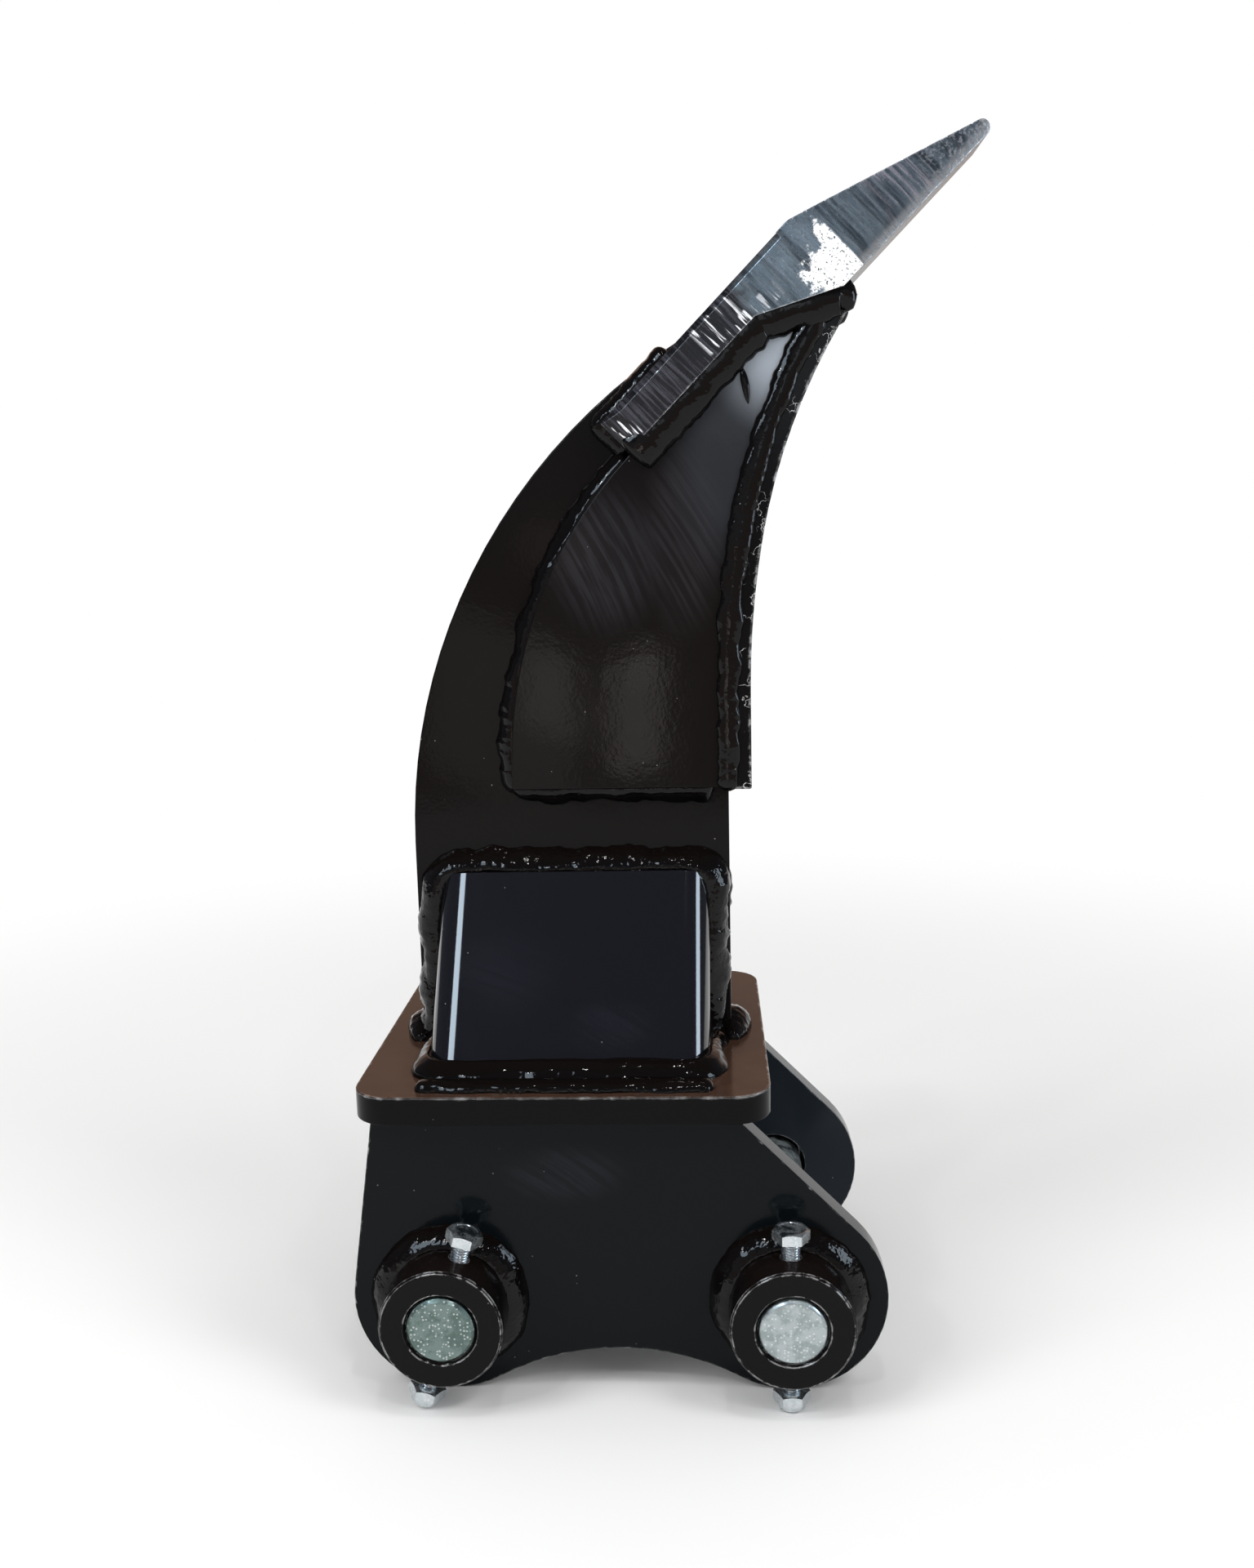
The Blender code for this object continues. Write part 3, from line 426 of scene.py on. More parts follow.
@dataclass(frozen=True)
class PaintFinish:
    """Gloss black enamel over steel."""

    name: str
    colour: Colour = (0.0028, 0.0028, 0.0032)
    # The dust colour on upward faces is also a painted sheen of reflected light.
    dust_and_sheen_colour: Colour = (0.020, 0.011, 0.008)
    dust_and_sheen_share: float = 0.25
    dust_and_sheen_scale: float = 70.0
    roughness: float = 0.13
    patch_scale: float = 38.0
    specular: float = 0.115
    coat: float = 0.0
    peel_scale: float = 520.0
    peel_waves: float = 1.2
    peel_height: float = 0.00002
    wear_reach: float = 0.0012
    wear_level: float = 0.86
    wear_scale: float = 190.0
    wear_depth: float = 4.0
    worn_above: float = -1.0
    speck_rarity: float = 0.975
    speck_scale: float = 260.0
    speck_size: float = 0.09
    loop_width: float = 0.0
    bare_colour: Colour = (0.62, 0.61, 0.60)
    bare_roughness: float = 0.25
    bare_metal: float = 0.8
    marks: tuple[Mark, ...] = ()

    def worn(self, graph: Graph, place: Socket) -> Socket:
        """Mask the chipped edges and curled scratches.

        Args:
            graph: The material's graph.
            place: The object coordinates.

        Returns:
            The mask.
        """
        worn = graph.group(EFFECTS.wear, Vector=place, Reach=self.wear_reach,
                           Scale=self.wear_scale, Level=self.wear_level)
        worn = graph.times(worn, graph.math("GREATER_THAN", graph.split(place)[2], self.worn_above))
        if self.loop_width:
            curls = graph.group(EFFECTS.loops, Vector=place, Width=self.loop_width)
            worn = graph.most(worn, curls)
        return worn

    def build(self) -> Look:
        """Build the enamel.

        Returns:
            The material.
        """
        material, graph, shader, place = new_material(self.name)
        # Upward faces take the dust colour: dust, and a painted sheen of reflected light.
        dust_and_sheen_mask = graph.group(EFFECTS.dust_and_sheen, Vector=place, Scale=self.dust_and_sheen_scale)
        colour = graph.blend(graph.times(dust_and_sheen_mask, self.dust_and_sheen_share), self.colour, self.dust_and_sheen_colour)
        for mark in self.marks:
            colour = graph.blend(mark.mask(graph, place), colour, mark.colour)
        dots = graph.group(EFFECTS.specks, Vector=place, Scale=self.speck_scale,
                           Rarity=self.speck_rarity, Size=self.speck_size)
        colour = graph.blend(dots, colour, SPECK_COLOUR)
        worn = self.worn(graph, place)
        patch = graph.spread(graph.noise(place, self.patch_scale, 4.0), 0.7, 1.3)
        rough = graph.times(patch, self.roughness)
        height = graph.group(EFFECTS.peel, Vector=place, Scale=self.peel_scale, Waves=self.peel_waves)
        height = graph.minus(height, graph.times(worn, self.wear_depth))
        graph.fill(shader, {
            "Base Color": graph.blend(worn, colour, self.bare_colour),
            "Roughness": graph.plus(rough, graph.times(worn, self.bare_roughness)),
            "Metallic": graph.times(worn, self.bare_metal),
            "Specular IOR Level": self.specular,
            "Coat Weight": self.coat,
            "Coat Roughness": COAT_ROUGHNESS,
            "Normal": graph.bump(height, self.peel_height),
        })
        return material


@dataclass(frozen=True)
class ZincFinish:
    """Bright zinc plating, mottled or clean."""

    name: str
    colour: Colour = (0.34, 0.40, 0.40)
    stain: Colour = (0.13, 0.18, 0.165)
    stain_share: float = 0.8
    stain_scale: float = 130.0
    flake_share: float = 0.45
    roughness: float = 0.28
    grain: float = 0.00003

    def build(self) -> Look:
        """Build the plating.

        Returns:
            The material.
        """
        material, graph, shader, place = new_material(self.name)
        cloud = graph.step(graph.noise(place, self.stain_scale, 5.0, 0.7), 0.42, 0.60)
        cloud = graph.times(cloud, self.stain_share)
        flakes = graph.group(EFFECTS.specks, Vector=place, Scale=620.0, Rarity=0.55, Size=0.34)
        plating = graph.blend(cloud, self.colour, self.stain)
        fine = graph.times(graph.noise(place, 1500.0, 2.0), 0.3)
        height = graph.plus(fine, graph.noise(place, 320.0, 3.0))
        graph.fill(shader, {
            "Base Color": graph.blend(graph.times(flakes, self.flake_share), plating, FLAKE_COLOUR),
            "Roughness": graph.plus(self.roughness, graph.times(cloud, 0.22)),
            "Metallic": graph.minus(1.0, graph.times(cloud, 0.4)),
            "Normal": graph.bump(height, self.grain),
        })
        return material


@dataclass(frozen=True)
class ToothFinish:
    """Cast and ground tooth steel under thin clear-black lacquer.

    Its places are measured along the tooth from the leg's foot, and across it. The leg
    is dark. Past bare_at the steel shows, and grinding marks run straight across it.
    A span is its start, its end and how soft its ends are. A patch is its middle along
    and across, then its reach. A scratched area is its span along, then across. The glare
    near the tip is a painted highlight, the patches by the crease are worn steel under a
    painted highlight, and the lighter downward side facet is a painted reflection.
    """

    name: str
    foot: Point
    tilt: float
    bare_at: Point = (0.104, 0.117)
    crease_at: float = 0.1490
    head_span: tuple[float, float, float] = (0.118, 0.1475, 0.004)
    glare_span: tuple[float, float, float] = (0.180, 0.200, 0.008)
    nose_at: Point = (0.196, 0.214)
    highlight_patches: tuple[tuple[float, ...], ...] = (
        (0.1395, -0.0135, 0.0180, 0.0160),
        (0.1462, -0.0010, 0.0058, 0.0125),
    )
    scratched: tuple[tuple[float, ...], ...] = (
        (0.066, 0.088, 0.003, 0.004, 0.017, 0.002),
        (0.003, 0.012, 0.001, 0.003, 0.014, 0.002),
        (0.082, 0.108, 0.005, -0.002, 0.0055, 0.0015),
    )
    dark: Colour = (0.006, 0.006, 0.008)
    dark_ground: Colour = (0.045, 0.045, 0.056)
    steel: Colour = (0.20, 0.25, 0.285)
    band: Colour = (0.075, 0.095, 0.112)
    head: Colour = (0.28, 0.34, 0.39)
    ground: Colour = (0.42, 0.47, 0.51)
    glare: Colour = (0.66, 0.60, 0.66)
    facet_reflection: Colour = (0.42, 0.46, 0.49)
    nose: Colour = (0.60, 0.62, 0.64)
    worn_highlight: Colour = (0.97, 0.97, 0.96)
    scratch: Colour = (0.80, 0.82, 0.84)
    roughness: float = 0.26
    grain: float = 0.00006

    def turned(self, graph: Graph, vector: Socket) -> tuple[Socket, Socket, Socket]:
        """Return a vector's parts along, through and across the tooth."""
        turn = {"Vector": vector, "Axis": (0.0, 1.0, 0.0), "Angle": self.tilt}
        return graph.split(graph.add("ShaderNodeVectorRotate", turn).outputs[0])

    def window(self, graph: Graph, value: Socket, low: float, high: float, soft: float) -> Socket:
        """Return 1 from low to high, with soft ends."""
        return graph.times(graph.step(value, low - soft, low), graph.step(value, high + soft, high))

    def patch(self, graph: Graph, along: Socket, across: Socket, place: Socket) -> Socket:
        """Mask the bright areas on the head, ragged and pitted: worn steel under a painted highlight.

        Args:
            graph: The material's graph.
            along: The place along the tooth.
            across: The place across it.
            place: The object coordinates.

        Returns:
            The mask.
        """
        edge = graph.times(graph.noise(place, 120.0, 6.0, 0.75), 2.2)
        area = 0.0
        for middle, aside, long, wide in self.highlight_patches:
            away = graph.join(
                graph.math("DIVIDE", graph.minus(along, middle), long),
                graph.math("DIVIDE", graph.minus(across, aside), wide), 0.0)
            area = graph.most(area, graph.step(graph.plus(graph.length(away), edge), 2.05, 1.85))
        area = graph.times(area, graph.step(along, self.crease_at + 0.0008, self.crease_at - 0.0004))
        return graph.times(area, graph.step(graph.noise(place, 900.0, 2.0), 0.33, 0.42))

    def scratches(self, graph: Graph, along: Socket, across: Socket, lines: Socket) -> Socket:
        """Mask the few bright cross scratches on the leg and its foot.

        Args:
            graph: The material's graph.
            along: The place along the tooth.
            across: The place across it.
            lines: Coordinates whose first part runs across the tooth.

        Returns:
            The mask.
        """
        fine = graph.group(EFFECTS.streaks, Vector=lines, Along=30.0, Across=380.0, Level=0.46)
        where = 0.0
        for start, end, soft, near, far, fringe in self.scratched:
            area = graph.times(self.window(graph, along, start, end, soft),
                               self.window(graph, across, near, far, fringe))
            where = graph.most(where, area)
        return graph.times(where, graph.step(fine, 0.35, 0.75))

    def build(self) -> Look:
        """Build the tooth's steel.

        Returns:
            The material.
        """
        material, graph, shader, place = new_material(self.name)
        from_foot = graph.vector("SUBTRACT", place, (self.foot[0], 0.0, self.foot[1]))
        along, through, across = self.turned(graph, from_foot)
        normal = graph.add("ShaderNodeNewGeometry").outputs["Normal"]
        _, sideways, upward = self.turned(graph, normal)
        side = graph.step(graph.math("ABSOLUTE", sideways), 0.60, 0.85)
        # Side faces that turn downward are painted lighter: a painted reflection of the floor.
        facet_reflection = graph.times(side, graph.step(graph.times(upward, -1.0), 0.15, 0.28))
        lines = graph.join(across, along, through)
        ground = graph.group(EFFECTS.streaks, Vector=lines, Along=26.0, Across=520.0, Level=0.46)
        bands = graph.group(EFFECTS.streaks, Vector=lines, Along=12.0, Across=120.0, Level=0.46)
        head = graph.times(self.window(graph, along, *self.head_span),
                           graph.step(graph.noise(place, 60.0, 4.0, 0.6), 0.38, 0.62))
        glare = graph.times(self.window(graph, along, *self.glare_span), ground)
        nose = graph.times(graph.step(along, *self.nose_at),
                           graph.step(graph.noise(place, 500.0, 3.0, 0.7), 0.52, 0.58))
        # Worn steel whose whiteness is a painted highlight.
        worn_highlight = self.patch(graph, along, across, place)
        steel = self.steel
        for mask, share, colour in (
            (bands, 1.0, self.band),
            (head, 0.7, self.head),
            (ground, 0.20, self.ground),
            (glare, 0.7, self.glare),
            (facet_reflection, 0.85, self.facet_reflection),
            (nose, 0.8, self.nose),
            (worn_highlight, 1.0, self.worn_highlight),
        ):
            steel = graph.blend(graph.times(mask, share), steel, colour)
        reach = graph.plus(along, graph.times(graph.noise(place, 90.0, 3.0), 0.03))
        bare = graph.times(graph.step(reach, *self.bare_at), side)
        whole = graph.blend(bare, graph.blend(ground, self.dark, self.dark_ground), steel)
        worn = graph.group(EFFECTS.wear, Vector=place, Reach=0.0016, Scale=260.0, Level=0.68)
        cuts = graph.most(worn, self.scratches(graph, along, across, lines))
        metal = graph.most(graph.spread(bare, 0.25, 0.95), worn)
        mottle = graph.spread(graph.noise(place, 420.0, 3.0), 0.7, 1.4)
        height = graph.plus(ground, graph.times(graph.noise(place, 700.0, 3.0), 0.8))
        height = graph.plus(height, graph.times(bands, 1.5))
        graph.fill(shader, {
            "Base Color": graph.blend(cuts, whole, self.scratch),
            "Metallic": graph.minus(metal, graph.times(worn_highlight, 0.75)),
            "Roughness": graph.times(mottle, self.roughness),
            "Normal": graph.bump(height, self.grain),
        })
        return material


# The welds' brown dust colour is partly a painted sheen of reflected light on their tops.
WELD_PAINT = PaintFinish(
    "weld_paint", colour=(0.0026, 0.0022, 0.0022), dust_and_sheen_colour=(0.012, 0.0055, 0.003), dust_and_sheen_share=0.15,
    roughness=0.06, specular=0.20, peel_scale=330.0, peel_waves=3.0, peel_height=0.00040,
    wear_reach=0.0004, wear_level=1.2)
SMOOTH_WELD_PAINT = replace(WELD_PAINT, name="smooth_weld_paint", peel_height=0.00016)


# Meshes

def place_piece(piece: Piece, slot: Slot, nodes: Sequence[str], look: Look) -> None:
    """Dress a piece, let it ride and hide the nodes that it stands for.

    Args:
        piece: The new piece, in place.
        slot: The record's material slot; not used.
        nodes: CAD nodes that it replaces, if any.
        look: Its material.
    """
    piece.data.materials.clear()
    piece.data.materials.append(look)
    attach(piece, BODY)
    if nodes:
        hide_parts(*nodes)
    LOG.info("%s: %d faces", piece.name, len(piece.data.polygons))


def link_mesh(name: str, mesh: bpy.types.Mesh) -> Piece:
    """Return a new object in the scene that shows a mesh."""
    piece = bpy.data.objects.new(name, mesh)
    bpy.context.scene.collection.objects.link(piece)
    return piece


def link_skin(name: str, work: bmesh.types.BMesh) -> Piece:
    """Turn a closed skin into a smooth object.

    Args:
        name: The piece's name.
        work: The skin, which is freed.

    Returns:
        The new piece.
    """
    bmesh.ops.recalc_face_normals(work, faces=work.faces)
    mesh = bpy.data.meshes.new(name)
    work.to_mesh(mesh)
    work.free()
    mesh.shade_smooth()
    return link_mesh(name, mesh)


def join_rings(work: bmesh.types.BMesh, rings: Sequence[Sequence[Corner]], closed: bool) -> None:
    """Join rings of vertices with faces, and cap both ends of an open row.

    Args:
        work: The skin being made.
        rings: Rings with equal numbers of vertices.
        closed: Whether the last ring is joined to the first.
    """
    pairs = list(zip(rings, rings[1:])) + ([(rings[-1], rings[0])] if closed else [])
    for first, second in pairs:
        for k in range(len(first)):
            after = (k + 1) % len(first)
            work.faces.new((first[k], first[after], second[after], second[k]))
    if not closed:
        work.faces.new(rings[0][::-1])
        work.faces.new(rings[-1])


def softened(node: str, arris: float) -> Piece:
    """Copy a CAD solid with its facets joined and its arrises rounded.

    Args:
        node: The CAD node.
        arris: The radius of its rounded edges.

    Returns:
        The new piece.
    """
    work = bmesh.new()
    work.from_mesh(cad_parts[node].data)
    bmesh.ops.remove_doubles(work, verts=work.verts, dist=MERGE)
    bmesh.ops.dissolve_limit(work, angle_limit=FLAT_ANGLE, verts=work.verts, edges=work.edges)
    mesh = bpy.data.meshes.new(node + "_dressed")
    work.to_mesh(mesh)
    work.free()
    mesh.shade_smooth()
    piece = link_mesh(node + "_dressed", mesh)
    rounding = piece.modifiers.new("Arris", "BEVEL")
    rounding.width = arris
    rounding.segments = ARRIS_SEGMENTS
    rounding.limit_method = "ANGLE"
    rounding.angle_limit = ARRIS_ANGLE
    flat = piece.modifiers.new("Flat faces", "WEIGHTED_NORMAL")
    flat.weight = FACE_WEIGHT
    return piece


def dress_solid(node: str, arris: float, look: Look, slot: Slot = Slot.PAINT) -> None:
    """Round the arrises of a CAD solid and dress it."""
    place_piece(softened(node, arris), slot, [node], look)


@dataclass(frozen=True)
class Bead:
    """How a weld bead was laid: its half width and rise, and how uneven it is."""

    reach: float
    rise: float
    seed: float = 0.0
    ripple: float = 0.014
    lumps: float = 0.10
    ragged: float = 0.16
    ridges: float = 0.0
    belly: float = 2.0
    pitch: float = 0.0050
    closed: bool = False
    step: float = 0.0012
    around: int = 20
    taper: float = 0.005

    def oval(self, turn: float) -> Point:
        """Return the sideways and upward shares of the bead's section at an angle."""
        parts = (math.cos(turn), math.sin(turn))
        return tuple(math.copysign(abs(part) ** (2 / self.belly), part) for part in parts)

    def end_size(self, run: float, left: float) -> float:
        """Return the size of the rounded ends, by the run so far and what is left."""
        end = min(run, left) / self.taper
        return math.sqrt(max(0.02, 1 - (1 - min(1.0, end)) ** 2))


def resample(route: Sequence[Vector], step: float, closed: bool) -> list[Vector]:
    """Space points evenly along a route and soften its corners.

    Args:
        route: The route's points.
        step: The distance between points.
        closed: Whether the route is a loop.

    Returns:
        The evenly spaced points.
    """
    points = [*route, route[0]] if closed else list(route)
    lengths = [0.0]
    for first, second in zip(points, points[1:]):
        lengths.append(lengths[-1] + (second - first).length)
    count = max(8, round(lengths[-1] / step))
    result, at = [], 0
    for i in range(count + (0 if closed else 1)):
        wanted = lengths[-1] * i / count
        while at < len(points) - 2 and lengths[at + 1] < wanted:
            at += 1
        share = (wanted - lengths[at]) / max(lengths[at + 1] - lengths[at], 1e-9)
        result.append(points[at].lerp(points[at + 1], min(1.0, share)))
    for _ in range(SOFTENING_PASSES):
        before = [point.copy() for point in result]
        for i in range(0 if closed else 1, len(result) - (0 if closed else 1)):
            after = before[(i + 1) % len(before)]
            result[i] = (before[i - 1] + before[i] * 2 + after) / 4
    return result


def swept_bead(name: str, route: Sequence[Vector], normal: Vector, bead: Bead,
               thickness: Callable[[float], float] | None = None) -> Piece:
    """Sweep a rippled oval along a route that lies in a plane.

    Args:
        name: The piece's name.
        route: The route's points.
        normal: The plane's normal; the bead rises along it.
        bead: How the bead was laid.
        thickness: Its thickness by the share of its length.

    Returns:
        The new piece.
    """
    points = resample(route, bead.step, bead.closed)
    count = len(points)
    seed = Vector((bead.seed * 3.7, bead.seed * 1.9, bead.seed))
    work = bmesh.new()
    rings = []
    for i, point in enumerate(points):
        after = points[(i + 1) % count] if bead.closed else points[min(i + 1, count - 1)]
        before = points[i - 1] if bead.closed else points[max(i - 1, 0)]
        lateral = (after - before).normalized().cross(normal).normalized()
        run = i * bead.step
        size = 1.0
        if thickness:
            size = thickness(i / (count - 1))
        elif not bead.closed:
            size = bead.end_size(run, (count - 1 - i) * bead.step)
        ring = []
        for k in range(bead.around):
            cos, sin = bead.oval(2 * math.pi * k / bead.around)
            scallop = abs(math.sin(math.pi * (run / bead.pitch + 0.45 * cos * cos)))
            toe = seed + Vector((run * TOE_WAVES, cos * 1.6, 0.0))
            wide = 1 + bead.ragged * (noise.noise(toe) + 0.5 * noise.noise(toe * 3.1))
            skin = point + lateral * (cos * bead.reach) + normal * (sin * bead.rise)
            lump = bead.lumps * noise.noise(skin * LUMP_WAVES + seed)
            lump += bead.lumps * 0.30 * noise.noise(skin * GRIT_WAVES + seed)
            lump += bead.ridges * noise.noise(seed + Vector((run * RIDGE_WAVES, cos * 3.2, sin * 3.2)))
            swell = size * (1 + bead.ripple * (scallop - 0.6) + lump)
            aside, above = cos * bead.reach * swell * wide, sin * bead.rise * swell
            ring.append(work.verts.new(point + lateral * aside + normal * above))
        rings.append(ring)
    join_rings(work, rings, bead.closed)
    return link_skin(name, work)


def lay_weld(node: str, route: Sequence[Vector], normal: Vector, bead: Bead, look: Look,
             thickness: Callable[[float], float] | None = None) -> None:
    """Sweep the bead of a CAD weld and dress it.

    Args:
        node: The CAD node that it replaces.
        route: The bead's route.
        normal: The way that it rises.
        bead: How it was laid.
        look: Its material.
        thickness: Its thickness by the share of its length.
    """
    weld = swept_bead(f"{node}_bead", route, normal, bead, thickness)
    place_piece(weld, Slot.WELD, [node], look)


def ring_stack(name: str, rings: Sequence[Sequence[Vector]], place: Matrix) -> Piece:
    """Join rings of points into a closed skin.

    Args:
        name: The piece's name.
        rings: Rings with equal numbers of points; the first and last are capped.
        place: Where the skin goes.

    Returns:
        The new piece.
    """
    work = bmesh.new()
    corners = [[work.verts.new(place @ point) for point in ring] for ring in rings]
    join_rings(work, corners, closed=False)
    piece = link_skin(name, work)
    piece.data.set_sharp_from_angle(angle=SKIN_ANGLE)
    return piece


def side_points(line: Iterable[Point], y: float) -> list[Vector]:
    """Return side view points as places in the part's frame."""
    return [Vector((x + SHIFT_X, y, z)) for x, z in line]


def plan_points(line: Iterable[Point], z: float) -> list[Vector]:
    """Return plan view points as places in the part's frame."""
    return [Vector((x + SHIFT_X, y, z)) for x, y in line]


def arc(centre: Point, radius: float, start: float, end: float, steps: int) -> list[Point]:
    """Return points on an arc, both ends included."""
    turn = [start + (end - start) * i / steps for i in range(steps + 1)]
    return [(centre[0] + radius * math.cos(a), centre[1] + radius * math.sin(a)) for a in turn]


# Sub-assemblies

@dataclass
class Hitch:
    """Ears, bosses, pins and the hitch plate."""

    pin_half_spacing: float = 0.090
    pin_height: float = 0.052
    boss_radius: float = 0.03225
    ear_outside: float = 0.091
    plate_under: float = 0.156
    plate_chips_above: float = 0.164
    ear_weld_ends: Point = (-0.105, 0.020)
    ear_arris: float = 0.0010
    small_arris: float = 0.0006
    boss_steps: int = 96

    def dress(self) -> None:
        """Dress the plates, bosses, pins and their welds."""
        weld_look = WELD_PAINT.build()
        self.plates()
        boss_look = PaintFinish("boss_paint", wear_level=0.57, wear_reach=0.0011).build()
        pins = (
            ZincFinish("pin_zinc_left", colour=(0.19, 0.25, 0.235), stain=(0.08, 0.125, 0.11)),
            ZincFinish("pin_zinc_right", colour=(0.46, 0.51, 0.52), stain=(0.26, 0.31, 0.31)),
        )
        for (hand, place), finish in zip(HANDS, pins):
            dress_solid(f"pin_{place}", self.small_arris, finish.build(), Slot.PIN)
            for sign, side in SIDES:
                dress_solid(f"boss_{side}_{place}", self.small_arris, boss_look)
                pin_x = hand * self.pin_half_spacing + SHIFT_X
                self.boss_weld(pin_x, sign, f"{side}_{place}", weld_look)
        for sign, side in SIDES:
            ends = [(x, sign * self.ear_outside) for x in self.ear_weld_ends]
            bead = Bead(0.0058, 0.0058, seed=5.0 + sign, ragged=0.25, belly=1.5)
            lay_weld(f"ear_weld_{side}", plan_points(ends, self.plate_under), UP, bead, weld_look)

    def plates(self) -> None:
        """Dress the ears and the hitch plate."""
        smear = Mark((-0.055, -0.091, 0.122), (0.040, 0.02, 0.019), (0.030, 0.031, 0.040), 0.24,
                     turning=(-0.20, -0.091, -0.10))
        ear = PaintFinish("ear_paint", colour=(0.0026, 0.0038, 0.0048), wear_level=0.69,
                          wear_reach=0.0015, marks=(smear,))
        # The rear ear's paint is lighter and bluer than the front ear's: a painted reflection on its
        # inner face.
        rear = replace(ear, name="rear_ear_reflection_paint", colour=(0.013, 0.017, 0.022), marks=())
        # The plate's upward faces are tinted brown all over: dust, and a painted reflection of the room
        # behind.
        plate = PaintFinish(
            "hitch_plate_paint", colour=(0.0022, 0.0022, 0.0026), dust_and_sheen_share=1.0,
            dust_and_sheen_colour=(0.045, 0.024, 0.016), specular=0.09, wear_level=0.66, wear_reach=0.0024,
            wear_scale=110.0, worn_above=self.plate_chips_above)
        dress_solid("ear_front", self.ear_arris, ear.build())
        dress_solid("ear_rear", self.ear_arris, rear.build())
        dress_solid("hitch_plate", self.small_arris, plate.build())

    def boss_weld(self, x: float, sign: int, place: str, look: Look) -> None:
        """Lay the fillet round a boss.

        Args:
            x: The boss's place along the part.
            sign: The side that the boss stands out to.
            place: The boss's side and hand, as its node names them.
            look: The weld's material.
        """
        ring = arc((x, self.pin_height), self.boss_radius, 0.0, 2 * math.pi, self.boss_steps)[:-1]
        route = [Vector((across, sign * self.ear_outside, up)) for across, up in ring]
        bead = Bead(0.0102, 0.0100, seed=x * 100 + sign, lumps=0.12, ragged=0.10, pitch=0.0065,
                    belly=1.35, closed=True)
        lay_weld(f"boss_weld_{place}", route, Vector((0, sign, 0)), bead, look)


